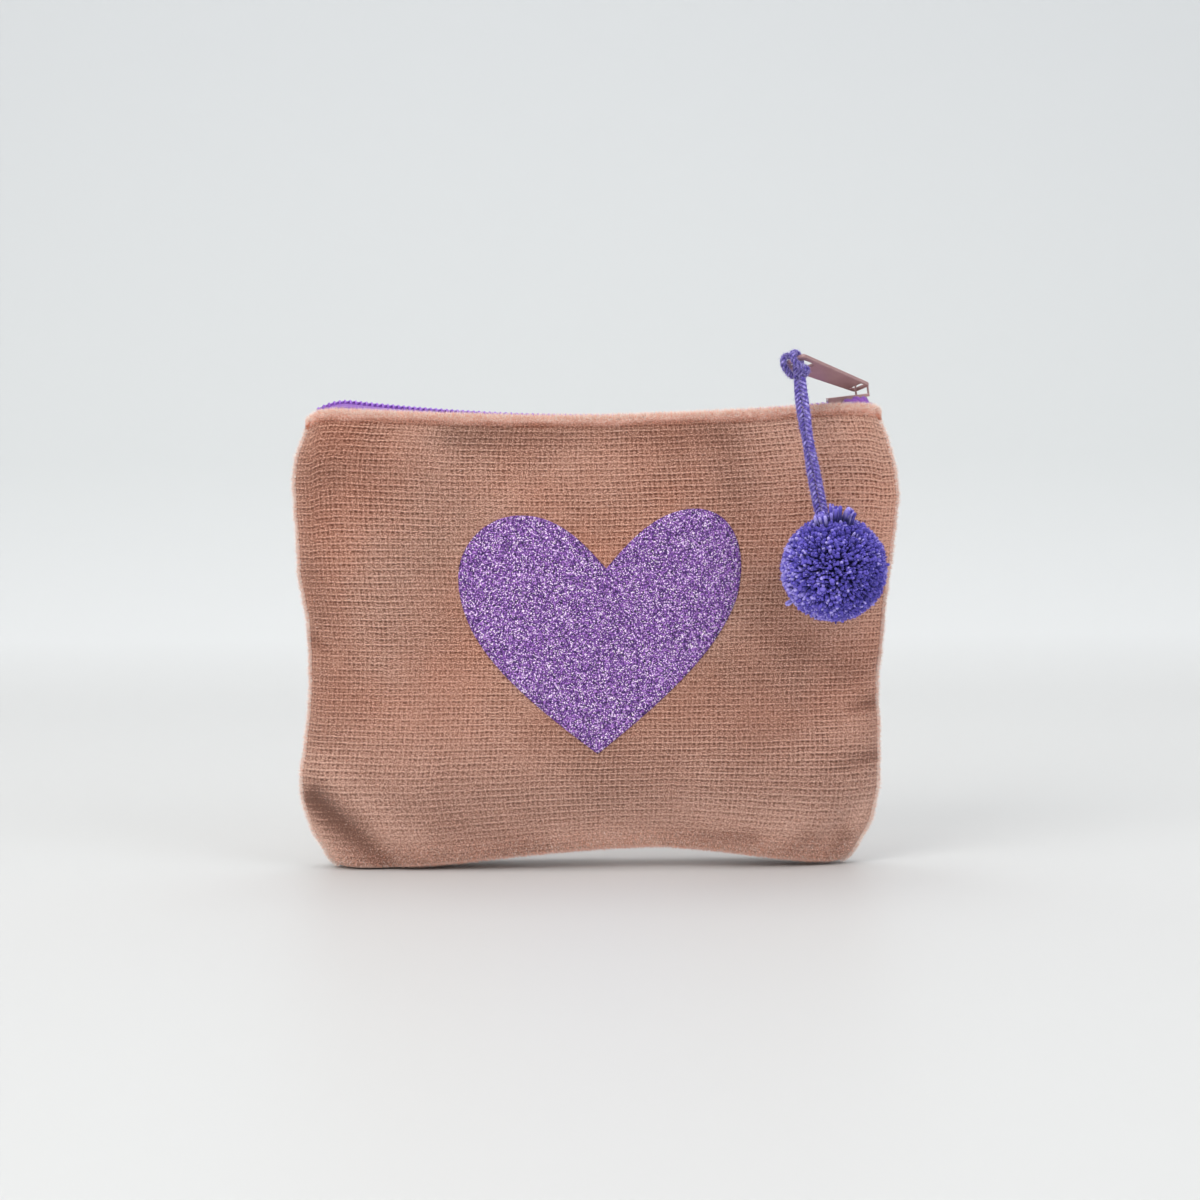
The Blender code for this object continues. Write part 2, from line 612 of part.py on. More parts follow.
pivot_end = -TAB_PIVOT_BAR / 2
tab_corners = (
    (pivot_end, -TAB_PIVOT_HALF_WIDTH), (TAB_LENGTH, -TAB_END_HALF_WIDTH),
    (TAB_LENGTH, TAB_END_HALF_WIDTH), (pivot_end, TAB_PIVOT_HALF_WIDTH),
)
tab_plan = rounded_outline(tab_corners, TAB_CORNER)
half_blade = TAB_THICKNESS / 2
tab = place("pull_tab", mesh_from(prism(tab_plan, -half_blade, half_blade), "pull_tab"), coated_metal,
            tab_frame, slider)
slot_half = TAB_PIVOT_HALF_WIDTH - TAB_ARM
slot_start = TAB_PIVOT_BAR / 2
slot_corners = (
    (slot_start, -slot_half), (slot_start + TAB_SLOT_LENGTH, -slot_half),
    (slot_start + TAB_SLOT_LENGTH, slot_half), (slot_start, slot_half),
)
hole_end = TAB_LENGTH - TAB_END_BAR
hole_start = hole_end - TAB_HOLE_LENGTH
hole_corners = (
    (hole_start, -TAB_HOLE_HALF_WIDTH), (hole_end, -TAB_HOLE_HALF_WIDTH),
    (hole_end, TAB_HOLE_HALF_WIDTH), (hole_start, TAB_HOLE_HALF_WIDTH),
)
for name, corners, radius in (
    ("tab_slot_guide", slot_corners, TAB_PIVOT_BAR / 2),
    ("tab_hole_guide", hole_corners, TAB_CORNER),
):
    cutter = prism(rounded_outline(corners, radius), -TAB_THICKNESS, TAB_THICKNESS)
    combine(tab, guide(cutter, name, tab_frame), "DIFFERENCE")
round_edges(tab, TAB_EDGE_ROUND)


# Cord hitch round the end bar, in the bar's own frame: x along the tab, y along the bar, z out of the tab.

def smooth_path(points, count):
    """Points read from a smooth curve through the given ones, evenly spaced."""
    knots = [points[0]] + list(points) + [points[-1]]
    fine = []
    for a, b, c, d in zip(knots, knots[1:], knots[2:], knots[3:]):
        for k in range(CURVE_FINENESS):
            t = k / CURVE_FINENESS
            fine.append(0.5 * (2 * b + (c - a) * t + (2 * a - 5 * b + 4 * c - d) * t**2
                               + (3 * b - a - 3 * c + d) * t**3))
    fine.append(points[-1])
    length = sum((b - a).length for a, b in zip(fine, fine[1:]))
    return resampled(fine, length / count)


bar_frame = tab_frame @ Matrix.Translation((TAB_LENGTH - TAB_END_BAR / 2, 0, 0))
beside_bar = TAB_END_BAR / 2 + HITCH_CLEARANCE + CORD / 2
over_bar = TAB_THICKNESS / 2 + HITCH_CLEARANCE + CORD / 2
apart = CORD + CLEARANCE
half_hitch = []
for beside, beyond, spacing, outside, over, fall in half_hitch_shares:
    along_tab = beside * beside_bar + beyond * apart
    across_tab = spacing * CORD_HALF_SPACING + outside * apart
    half_hitch.append(Vector((along_tab, across_tab, over * over_bar + fall * HITCH_FALL)))
left = [Vector((point.x, -point.y, point.z)) for point in half_hitch]
right = list(reversed(half_hitch[:-1]))
cord_yarn = material("cord_yarn", (0.17, 0.12, 0.55), 0.9)
hitch = tube("cord_hitch", smooth_path(left + right, HITCH_STEPS), CORD, cord_yarn, 2, bar_frame, tab)


# The two strands fall on one smooth curve from the hitch to the tie inside the pompom. They leave the hitch one
# behind the other and turn until they lie side by side across the bag.

BAG_ACROSS = Vector((1, 0, 0))
cord_end_direction = Vector(cord_end_shares).normalized()
leave = bar_frame @ Vector((-beside_bar, 0, -HITCH_FALL - CORD_BREAK / 2))
leave_direction = -tab_out
pompom_centre = leave + POMPOM_HANG
arrive = pompom_centre - cord_end_direction * (TIE_LENGTH / 2 + CLEARANCE)
start = leave + leave_direction * CORD_BREAK / 2
route = (start, start + leave_direction * CORD_LEAVE, arrive - cord_end_direction * CORD_ARRIVE, arrive)
cord_pivot = Matrix.Translation(leave)
pompom_axes = cord_end_direction.to_track_quat("Z", "X").to_matrix().to_4x4()
for side, sign in (("left", -1), ("right", 1)):
    strand = []
    centres = [Vector(cubic(*route, k / CORD_STEPS)) for k in range(CORD_STEPS + 1)]
    for k, centre in enumerate(centres):
        ahead = (centres[min(k + 1, CORD_STEPS)] - centres[max(k - 1, 0)]).normalized()
        turning = tab_across.lerp(BAG_ACROSS, smooth_step(k / CORD_STEPS / STRAND_TURN_SHARE))
        beside = (turning - turning.dot(ahead) * ahead).normalized()
        strand.append(centre + sign * CORD_HALF_SPACING * beside - leave)
    tube(f"cord_strand_{side}", strand, CORD, cord_yarn, 2, cord_pivot, hitch)


# Pompom and its tie, turned about the cord's last stretch. The well opens back along the cord.

def turned(name, profile, sides, finish, matrix, carrier=None):
    """A profile of (radius, height) turned about z, closed where it meets the axis."""
    bm = bmesh.new()
    verts = [bm.verts.new((radius, 0, z)) for radius, z in profile]
    edges = [bm.edges.new(pair) for pair in zip(verts, verts[1:])]
    bmesh.ops.spin(bm, geom=verts + edges, cent=(0, 0, 0), axis=(0, 0, 1), angle=2 * math.pi, steps=sides,
                   use_merge=True)
    bmesh.ops.remove_doubles(bm, verts=bm.verts, dist=MERGE_DISTANCE)
    return place(name, mesh_from(bm, name), finish, matrix, carrier)


pompom_frame = Matrix.Translation(pompom_centre) @ pompom_axes
mouth_angle = math.asin((POMPOM_WELL_RADIUS + POMPOM_WELL_LIP) / POMPOM_RADIUS)
ball = [(0.0, POMPOM_RADIUS)]
for k in range(1, POMPOM_RINGS):
    angle = k * (math.pi - mouth_angle) / (POMPOM_RINGS - 1)
    ball.append((POMPOM_RADIUS * math.sin(angle), POMPOM_RADIUS * math.cos(angle)))
well_floor = TIE_LENGTH / 2 + CLEARANCE
well_mouth = ball[-1][1] + POMPOM_WELL_LIP
ball += [(POMPOM_WELL_RADIUS, well_mouth), (POMPOM_WELL_RADIUS, well_floor), (0.0, well_floor)]
pompom_yarn = material("pompom_yarn", (0.07, 0.05, 0.29), 0.95)
pompom = turned("pompom_yarn", ball, POMPOM_SIDES, pompom_yarn, pompom_frame, hitch)
half_tie = TIE_LENGTH / 2
tie_waist = TIE_RADIUS - CLEARANCE
tie = (
    (0.0, half_tie), (tie_waist, half_tie), (TIE_RADIUS, half_tie / 2), (TIE_RADIUS, -half_tie / 2),
    (tie_waist, -half_tie), (0.0, -half_tie),
)
turned("pompom_tie", tie, POMPOM_SIDES // 2, cord_yarn, pompom_frame, pompom)


# The origin lies on the ground under the middle of the bag's depth, taken with the tab, which reaches out in front.

front_reach = -min((tab_frame @ Vector((x, y, z))).y for x, y in tab_plan for z in (-half_blade, half_blade))
back_reach = SEAM_HALF_GAP + BELLY_HALF_DEPTH
seam_plane = Vector((0, (max(front_reach, back_reach) - back_reach) / 2, 0))
for piece in bpy.data.objects:
    if piece.parent is None:
        piece.location += seam_plane
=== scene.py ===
import math

import bmesh
import bpy
import numpy as np
from mathutils import Matrix, Vector
from mathutils.bvhtree import BVHTree


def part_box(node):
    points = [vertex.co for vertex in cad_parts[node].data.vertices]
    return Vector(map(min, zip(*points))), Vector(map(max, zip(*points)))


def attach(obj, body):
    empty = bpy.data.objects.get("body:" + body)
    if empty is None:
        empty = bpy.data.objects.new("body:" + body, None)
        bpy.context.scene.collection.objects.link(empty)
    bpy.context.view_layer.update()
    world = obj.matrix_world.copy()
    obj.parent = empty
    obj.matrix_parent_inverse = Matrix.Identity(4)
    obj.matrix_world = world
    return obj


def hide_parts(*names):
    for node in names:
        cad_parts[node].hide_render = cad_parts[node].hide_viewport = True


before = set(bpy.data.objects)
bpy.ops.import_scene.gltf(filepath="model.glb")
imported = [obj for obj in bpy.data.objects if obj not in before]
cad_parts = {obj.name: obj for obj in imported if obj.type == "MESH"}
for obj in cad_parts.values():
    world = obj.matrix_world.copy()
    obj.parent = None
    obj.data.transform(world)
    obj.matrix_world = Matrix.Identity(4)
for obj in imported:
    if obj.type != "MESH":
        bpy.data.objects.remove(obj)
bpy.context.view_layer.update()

# The table and the light. A pale sweep of card runs from under the bag up behind it, lit by large soft lamps
# from the front, the left and above. None of it belongs to the bag.
MM = 0.001
# The origin lies under the middle of the bag's depth with its tab, so the seam plane is a little behind it.
SEAM_PLANE = 3.207
CAMERA_DISTANCE = 0.9
CAMERA_ROLL = -0.0086
camera_data = bpy.data.cameras.new("camera")
camera = bpy.data.objects.new("camera", camera_data)
bpy.context.collection.objects.link(camera)
camera_data.lens = 96.4
camera_data.sensor_width = 36.0
camera_target = Vector((0.5, SEAM_PLANE, 74.6)) * MM
camera_rise = math.radians(4.0)
camera_back = Vector((0.0, -math.cos(camera_rise), math.sin(camera_rise)))
camera_right = Vector((1.0, 0.0, CAMERA_ROLL)).normalized()
camera_up = camera_back.cross(camera_right).normalized()
camera_axes = Matrix((camera_right, camera_up, camera_back)).transposed().to_4x4()
camera.matrix_world = Matrix.Translation(camera_target + camera_back * CAMERA_DISTANCE) @ camera_axes
bpy.context.scene.camera = camera
bpy.context.scene.view_settings.view_transform = "Standard"


def linear(hex_colour):
    """A colour written as in a paint chart, as the values that a material takes."""
    parts = [int(hex_colour[k:k + 2], 16) / 255 for k in (0, 2, 4)]
    return tuple(p / 12.92 if p <= 0.04045 else ((p + 0.055) / 1.055) ** 2.4 for p in parts) + (1.0,)


def fill(tree, node, inputs):
    """Sets inputs of a node, each to a value, a written colour or another node's output."""
    for name, value in inputs.items():
        if isinstance(value, bpy.types.NodeSocket):
            tree.links.new(value, node.inputs[name])
        else:
            node.inputs[name].default_value = linear(value) if isinstance(value, str) else value


def add_node(tree, kind, inputs, **settings):
    """A new node of a material, with its settings and inputs."""
    node = tree.nodes.new(f"ShaderNode{kind}")
    for name, value in settings.items():
        setattr(node, name, value)
    fill(tree, node, inputs)
    return node


def new_material(name, roughness=0.5, metallic=0.0):
    made = bpy.data.materials.new(name)
    made.use_nodes = True
    surface = made.node_tree.nodes["Principled BSDF"]
    fill(made.node_tree, surface, {"Roughness": roughness, "Metallic": metallic})
    return made, made.node_tree, surface


def object_place(tree):
    return add_node(tree, "TexCoord", {}).outputs["Object"]


def ramp(tree, factor, low, high):
    """Runs from 0 to 1 as the factor runs from low to high."""
    return add_node(tree, "MapRange", {"Value": factor, "From Min": low, "From Max": high}).outputs["Result"]


def tint(tree, factor, first, second):
    """Mixes two colours, each a written colour or another node's."""
    mixed = add_node(tree, "Mix", {"Factor": factor, "A": first, "B": second}, data_type="RGBA")
    return mixed.outputs["Result"]


def ramp_colours(tree, factor, *stops):
    """A colour read from stops of (place, written colour)."""
    node = add_node(tree, "ValToRGB", {"Fac": factor})
    elements = node.color_ramp.elements
    while len(elements) < len(stops):
        elements.new(1.0)
    for element, (at, colour) in zip(elements, stops):
        element.position = at
        element.color = linear(colour)
    return node.outputs["Color"]


def drawn_mesh(bm, name):
    """The drawn form as a mesh, shaded smooth."""
    mesh = bpy.data.meshes.new(name)
    bm.to_mesh(mesh)
    bm.free()
    mesh.shade_smooth()
    return mesh


def show(mesh, name, body=None):
    """Puts a mesh in the scene, on one of the moving bodies. The bag's own pieces are drawn about its seam plane."""
    if body == "bag":
        mesh.transform(Matrix.Translation((0, SEAM_PLANE * MM, 0)))
    piece = bpy.data.objects.new(name, mesh)
    bpy.context.collection.objects.link(piece)
    if body:
        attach(piece, body)
    return piece


# Half width, front end, start of the bend, radius of the bend and top of the card, in metres.
CARD_HALF_WIDTH, CARD_FRONT, BEND_START, BEND_RADIUS, CARD_TOP = 3.0, -2.5, 0.42, 0.5, 3.0
card, tree, surface = new_material("pale_card", 0.5)
height = add_node(tree, "SeparateXYZ", {"Vector": object_place(tree)}).outputs["Z"]
seen = add_node(tree, "LightPath", {}).outputs["Is Camera Ray"]
# Painted light: as the camera sees it, the card is painted paler where the floor turns up into the bend and darker
# higher up the sweep.
tone = ramp_colours(tree, ramp(tree, height, 0.0, 0.32), (0.0, "D1D1D0"), (0.06, "DADBDB"), (0.3, "D0D2D2"),
                    (1.0, "CED0D1"))
fill(tree, surface, {"Base Color": tint(tree, seen, "E8EAEB", tone), "Specular IOR Level": 0.25})
bm = bmesh.new()
bend = (math.pi / 32 * k for k in range(1, 17))
sweep = [(CARD_FRONT, 0.0), (BEND_START, 0.0)]
sweep += [(BEND_START + BEND_RADIUS * math.sin(a), BEND_RADIUS - BEND_RADIUS * math.cos(a)) for a in bend]
sweep += [(BEND_START + BEND_RADIUS, CARD_TOP)]
line = [bm.verts.new((-CARD_HALF_WIDTH, y, z)) for y, z in sweep]
edges = [bm.edges.new(pair) for pair in zip(line, line[1:])]
drawn = bmesh.ops.extrude_edge_only(bm, edges=edges)["geom"]
moved = [v for v in drawn if isinstance(v, bmesh.types.BMVert)]
bmesh.ops.translate(bm, vec=(2 * CARD_HALF_WIDTH, 0, 0), verts=moved)
bmesh.ops.recalc_face_normals(bm, faces=bm.faces)
if sum(f.normal.z for f in bm.faces) < 0:
    bmesh.ops.reverse_faces(bm, faces=bm.faces)
mesh = drawn_mesh(bm, "card_sweep")
mesh.materials.append(card)
show(mesh, "card_sweep")
for name, where, size, power, colour in (
    ("lamp_left", (-0.75, -1.1, 1.0), 0.9, 12.5, "FFFDFA"),
    ("lamp_right", (1.0, -0.9, 0.8), 0.9, 5.2, "F7FAFF"),
    ("lamp_above", (0.0, 0.15, 1.5), 1.4, 12.0, "FFFFFF"),
):
    lamp = bpy.data.lights.new(name, "AREA")
    lamp.size = size
    lamp.energy = power
    lamp.color = linear(colour)[:3]
    holder = bpy.data.objects.new(name, lamp)
    holder.location = where
    holder.rotation_euler = (Vector((0, 0, 0.06)) - Vector(where)).to_track_quat("-Z", "Y").to_euler()
    bpy.context.collection.objects.link(holder)
world = bpy.data.worlds.new("studio")
world.use_nodes = True
fill(world.node_tree, world.node_tree.nodes["Background"], {"Color": "EEF1F3", "Strength": 0.5})
bpy.context.scene.world = world


# The two outer panels. Dusty rose ribbed velvet, cut alike, sewn together down the sides and along the bottom and
# turned, with the top edge of each folded in over the zip tape. The stuffed-flat bag stands on its lower corners.
FRONT, BACK = -1.0, 1.0
BAG_HEIGHT = 129.3
BELLY_DEPTH = 14.5
SEAM_GAP = 0.02
BACK_NARROWER = 0.995
# The arch of the base: its rise, its middle, its reach to the left and right, and how far up the panel it tells.
BASE_ARCH_RISE, ARCH_MIDDLE, ARCH_LEFT, ARCH_RIGHT, ARCH_HEIGHT = 5.9, 13, 84, 64, 34
# How squarely the belly meets the side seams, by share of the height.
SIDE_SQUARENESS = ((0, 0.2, 0.6, 0.85, 1), (5.0, 3.2, 3.0, 6.0, 13.0))
FLOOR_GAP = 0.05
CLOTH_THICKNESS = 0.8
FOLD_RADIUS = 1.05
FOLD_DEPTH = 4.0
RIB_PITCH = 1.72
YARN_PITCH = 1.36
# Rows up a panel: height, share of the depth, left edge, right edge.
panel_rows = np.array((
    (0.0, 0.0, -63.5, 60.5), (0.0, 0.30, -67.5, 63.5), (0.3, 0.60, -72.0, 66.5), (1.9, 0.76, -75.8, 69.6),
    (6.2, 0.88, -78.6, 72.7), (12.9, 0.95, -82.0, 76.2), (23.3, 0.985, -84.6, 78.2), (36.2, 1.0, -83.1, 78.8),
    (49.1, 0.98, -81.9, 78.2), (60.8, 0.93, -81.5, 79.1), (71.1, 0.88, -82.2, 79.8), (81.5, 0.845, -84.0, 81.4),
    (93.1, 0.81, -84.8, 82.9), (104.7, 0.78, -85.3, 84.2), (116.4, 0.74, -84.9, 82.2), (129.3, 0.70, -80.4, 78.3),
))
TOP_ROW = len(panel_rows) - 1
top_edge_heights = {
    FRONT: ((-80, 126.2), (-77.5, 127.8), (-73, 128.3), (-60, 127.7), (-43, 126.9), (-20, 126.1), (0, 125.9),
            (19, 126.4), (40, 127.1), (58, 128.2), (68, 128.6), (73, 128.6), (76.5, 128.2), (78.5, 127.4)),
    BACK: ((-80, 125.2), (-76, 126.8), (-70, 127.1), (-45, 125.8), (0, 124.4), (45, 125.6), (70, 127.1),
           (80, 125.2)),
}
# Dents of the soft cloth: start, end, width, depth inwards.
front_dents = (
    ((-84, 67), (-73, 60), 2.4, 1.6), ((-80, 20), (-58, 2), 3.2, 3.2), ((-83, 11), (-66, -2), 3.2, -1.6),
    ((-80, 38), (-66, 24), 4.5, 0.6), ((14, 9), (20, 6), 4.0, 1.1), ((81, 47), (69, 44), 1.9, 2.0),
    ((81, 32), (66, 27), 2.0, 1.8), ((72, 15), (58, 4), 3.2, 2.0), ((61, 128), (57, 98), 8.0, 0.9),
    ((-52, 106), (-30, 100), 13.0, 0.8), ((46, 96), (66, 62), 12.0, 0.7), ((-30, 22), (30, 18), 9.0, 0.5),
    ((83, 74), (72, 70), 3.0, 0.5), ((-84, 96), (-70, 90), 5.0, 0.5), ((-10, 118), (20, 122), 7.0, 0.4),
)
back_dents = (
    ((-80, 60), (-60, 50), 5.0, 1.0), ((82, 66), (72, 60), 2.4, 1.2), ((80, 22), (56, 4), 3.0, 1.8),
    ((-78, 24), (-60, 6), 4.0, 0.9), ((-40, 90), (30, 70), 16.0, 0.9), ((10, 12), (30, 8), 5.0, 0.8),
)
# Where the pile is brushed darker or lighter, with painted shade in creases and valleys and painted highlights on the
# ridges beside them: start, end, width, shade.
brushing_and_painted_light = (
    ((-80, 20), (-60, 2), 3.4, -0.85), ((-78, 30), (-50, 8), 4.0, 0.16), ((-84, 66), (-76, 62), 1.8, -0.35),
    ((-84, 14), (-72, 1), 2.0, 0.3), ((-85, 28), (-85, 112), 2.4, 0.28), ((84, 70), (84, 118), 3.0, 0.16),
    ((14, 7), (-10, 9), 4.0, 0.22), ((-44, 12), (-20, 9), 4.0, -0.1), ((40, 124), (72, 104), 7.0, 0.08),
    ((-80, 82), (-70, 62), 6.0, -0.14), ((-72, 114), (-40, 104), 12.0, -0.13), ((36, 122), (42, 80), 7.0, -0.16),
    ((57, 62), (68, 55), 5.0, -0.22), ((79, 46), (70, 44), 1.6, -0.45), ((77, 51), (64, 48), 2.6, 0.16),
    ((70, 41), (48, 30), 6.0, 0.16), ((78, 31), (68, 29), 1.6, -0.35), ((68, 8), (64, 3), 2.6, -0.35),
    ((74, 17), (69, 8), 2.6, 0.18), ((58, 8), (50, 4), 3.0, -0.25), ((42, 9), (26, 10), 2.0, -0.3),
    ((-60, 9), (10, 12), 4.5, 0.12), ((60, 12), (20, 16), 7.0, 0.08), ((-40, 121), (44, 120), 4.5, -0.18),
    ((-10, 24), (-60, 40), 9.0, 0.08), ((50, 78), (50, 60), 8.0, -0.12), ((76, 70), (78, 100), 5.0, 0.12),
)


def smooth_rows(table, at):
    """The table read between its rows on a smooth curve through them."""
    at = np.clip(at, 0, len(table) - 1)
    k = np.minimum(at.astype(int), len(table) - 2)
    t = (at - k)[:, None]
    a, b, c, d = (table[np.clip(k + n, 0, len(table) - 1)] for n in (-1, 0, 1, 2))
    return 0.5 * (2 * b + (c - a) * t + (2 * a - 5 * b + 4 * c - d) * t**2 + (3 * b - a - 3 * c + d) * t**3)


def ease(t):
    t = np.clip(t, 0, 1)
    return t * t * (3 - 2 * t)


def dents(x, z, table):
    """How far each place is pushed in by the dents of a table."""
    total = np.zeros_like(x)
    for (x0, z0), (x1, z1), width, depth in table:
        run = np.hypot(x1 - x0, z1 - z0)
        t = np.clip(((x - x0) * (x1 - x0) + (z - z0) * (z1 - z0)) / run**2, 0, 1)
        away = np.hypot(x - x0 - t * (x1 - x0), z - z0 - t * (z1 - z0))
        total += depth * np.exp(-(away / width) ** 2) * (1 - 0.6 * t)
    return total


def panel_places(across, row, facing):
    """A panel's outer face in millimetres: across runs from -1 to 1, row up the panel and then over the fold."""
    height, depth_share, left, right = smooth_rows(panel_rows, row).T
    x = (left + right) / 2 + (right - left) / 2 * across * (1.0 if facing == FRONT else BACK_NARROWER)
    ripple = 0.1 * np.sin(height / 3.7 + 2 * across) + 0.1 * np.sin(height / 1.45 - across)
    ripple += 0.2 * np.sin(height / 9.1)
    x += ripple * across**25 * np.clip(height / 5, 0, 1)
    square = np.interp(height / BAG_HEIGHT, *SIDE_SQUARENESS)
    full = np.sqrt(np.maximum(0.0, 1 - np.abs(across) ** square))
    y = SEAM_GAP + BELLY_DEPTH * depth_share * full
    arch = (x - ARCH_MIDDLE) / np.where(x < ARCH_MIDDLE, ARCH_LEFT, ARCH_RIGHT)
    arch = (1 + np.cos(np.pi * np.clip(arch, -1, 1))) / 2
    rise = BASE_ARCH_RISE * arch * np.clip(1 - height / ARCH_HEIGHT, 0, 1)
    top_x, top_z = zip(*top_edge_heights[facing])
    drop = (np.interp(x, top_x, top_z) - BAG_HEIGHT) * ease((height / BAG_HEIGHT - 0.55) / 0.45)
    z = height + rise + drop
    soft = 0.35 * np.sin(x / 17 + 1.3 * facing + z / 31) * np.sin(z / 19 - x / 43)
    soft += 0.25 * np.sin(x / 9 - z / 13)
    pushed = dents(x, z, front_dents if facing == FRONT else back_dents) + soft
    y -= pushed * np.minimum(1, full * 1.5) * ease((1.02 - z / 132) * 12)
    turn = np.clip(row - TOP_ROW, 0, 1) * np.pi
    y -= FOLD_RADIUS * (1 - np.cos(turn)) * np.minimum(1, full * 2)
    z += FOLD_RADIUS * (np.sin(turn) - ease(row - TOP_ROW + 1))
    z -= FOLD_DEPTH * np.clip(row - TOP_ROW - 1, 0, 1)
    return np.stack((x, facing * np.maximum(y, SEAM_GAP), np.maximum(z, FLOOR_GAP)), axis=1)


def lay_cloth(bm, lengths):
    """Keeps each point's place in the flat cloth, in millimetres, as the UV map."""
    layer = bm.loops.layers.uv.new("Cloth")
    for face in bm.faces:
        for loop in face.loops:
            loop[layer].uv = lengths[loop.vert]


def panel_mesh(name, columns, rows, facing, last_row):
    """A grid laid on the panel's form."""
    bm = bmesh.new()
    bmesh.ops.create_grid(bm, x_segments=columns, y_segments=rows, size=1.0)
    flat = np.array([v.co[:2] for v in bm.verts])
    step = (flat + 1) / 2
    column = np.rint(step[:, 0] * columns).astype(int)
    level = np.rint(step[:, 1] * rows).astype(int)
    across = np.sin(np.pi / 2 * flat[:, 0]) * 0.35 + flat[:, 0] * 0.65
    row_stops = (0, 2.4, 4.6, TOP_ROW - 0.15, TOP_ROW + 0.98, last_row)
    row = np.interp(step[:, 1], (0, 0.12, 0.24, 0.9, 0.95, 1.0), row_stops)
    places = panel_places(across, row, facing)
    grid = np.zeros((columns + 1, rows + 1, 3))
    grid[column, level] = places
    width_run = np.r_[0, np.cumsum(np.linalg.norm(np.diff(grid[:, rows // 2], axis=0), axis=1))]
    height_run = np.r_[0, np.cumsum(np.linalg.norm(np.diff(grid[columns // 2], axis=0), axis=1))]
    lengths = {}
    brim = bm.verts.layers.float.new("brim")
    brushed = bm.verts.layers.float.new("brushed")
    # Brushed pile with painted shade and painted highlights, from the listed marks, on the outer face only.
    marks = dents(places[:, 0], places[:, 2], brushing_and_painted_light) * (places[:, 1] * facing > 0)
    # The brim value is painted highlight where the cloth turns: along the folded top edge, the side edges and the
    # base.
    wavy = 0.02 * np.sin(places[:, 0] / 2.3) + 0.03 * np.sin(places[:, 0] / 5.9 + 1)
    folded = ease((row - TOP_ROW + 0.24 + wavy) / 0.2)
    edged = 0.5 * ease((np.abs(across) - 0.985) / 0.015) + 0.5 * ease((3.2 - row) / 1.4)
    for vert, place, c, r, painted_edge_highlight, mark in zip(bm.verts, places, column, level, np.maximum(folded, edged), marks):
        vert.co = place * MM
        vert[brim] = painted_edge_highlight
        vert[brushed] = mark
        lengths[vert] = (width_run[c], height_run[r])
    lay_cloth(bm, lengths)
    bm.normal_update()
    if sum(f.normal.y * facing for f in bm.faces) < 0:
        bmesh.ops.reverse_faces(bm, faces=bm.faces)
    return drawn_mesh(bm, name)


def maths(tree, operation, *values):
    """A sum, product or the like of values, each a number or another node's output."""
    return add_node(tree, "Math", dict(enumerate(values)), operation=operation).outputs[0]


def vector_maths(tree, operation, *values):
    return add_node(tree, "VectorMath", dict(enumerate(values)), operation=operation).outputs[0]


def woven_group():
    """Cloth seen close: thin raised ribs across it, thinner yarns up it, and rows of hollow cells between the ribs,
    for bumps and painted shade.
    """
    group = bpy.data.node_groups.new("ribbed_cloth", "ShaderNodeTree")
    for name, kind in (("Cloth", "NodeSocketVector"), ("Rib Pitch", "NodeSocketFloat"),
                       ("Yarn Pitch", "NodeSocketFloat"), ("Unevenness", "NodeSocketFloat")):
        group.interface.new_socket(name, in_out="INPUT", socket_type=kind)
    for name in ("Ribs", "Yarns", "Cells", "Chance", "Height"):
        group.interface.new_socket(name, in_out="OUTPUT", socket_type="NodeSocketFloat")
    given = group.nodes.new("NodeGroupInput").outputs
    outward = group.nodes.new("NodeGroupOutput")
    moved = given["Cloth"]
    for scale, share in ((0.05, 1.1), (0.45, 0.4)):
        wander = add_node(group, "TexNoise", {"Scale": scale, "Detail": 2.0, "Vector": given["Cloth"]})
        centred = vector_maths(group, "SUBTRACT", wander.outputs["Color"], (0.5, 0.5, 0.5))
        reach = maths(group, "MULTIPLY", given["Unevenness"], share)
        scaled = add_node(group, "VectorMath", {0: centred, "Scale": reach}, operation="SCALE")
        moved = vector_maths(group, "ADD", moved, scaled.outputs[0])
    parts = add_node(group, "SeparateXYZ", {0: moved}).outputs
    counts, waves = [], []
    for axis, pitch in (("Y", "Rib Pitch"), ("X", "Yarn Pitch")):
        counts.append(maths(group, "DIVIDE", parts[axis], given[pitch]))
        turn = maths(group, "MULTIPLY", counts[-1], 2 * math.pi)
        waves.append(maths(group, "MULTIPLY_ADD", maths(group, "COSINE", turn), 0.5, 0.5))
    half_rib = maths(group, "FLOOR", maths(group, "MULTIPLY", counts[0], 2.0))
    cell = add_node(group, "CombineXYZ", {"X": maths(group, "FLOOR", counts[1]), "Y": half_rib}).outputs[0]
    chance = add_node(group, "TexWhiteNoise", {"Vector": cell}, noise_dimensions="2D").outputs["Value"]
    ribs = maths(group, "POWER", waves[0], 6.5)
    yarns = maths(group, "POWER", waves[1], 2.0)
    # The cells sit just below each rib, where the materials paint shade as from light above.
    rows = []
    for turns, late, sharp, deep in ((2, 2.2, 2.2, 0.5), (4, 3.5, 1.5, 0.66)):
        wave = maths(group, "COSINE", maths(group, "MULTIPLY_ADD", counts[0], turns * math.pi, late))
        wave = maths(group, "POWER", maths(group, "MULTIPLY_ADD", wave, 0.5, 0.5), sharp)
        rows.append(maths(group, "MULTIPLY", wave, deep))
    between = maths(group, "MULTIPLY_ADD", maths(group, "SUBTRACT", 1.0, waves[1]), 0.74, 0.24)
    cells = maths(group, "MULTIPLY", maths(group, "ADD", *rows), between)
    raised = maths(group, "MULTIPLY_ADD", ribs, 0.4, maths(group, "MULTIPLY", yarns, 0.2))
    height = maths(group, "SUBTRACT", raised, cells)
    fill(group, outward, {"Ribs": ribs, "Yarns": yarns, "Cells": cells, "Chance": chance, "Height": height})
    return group


ribbed_cloth = woven_group()


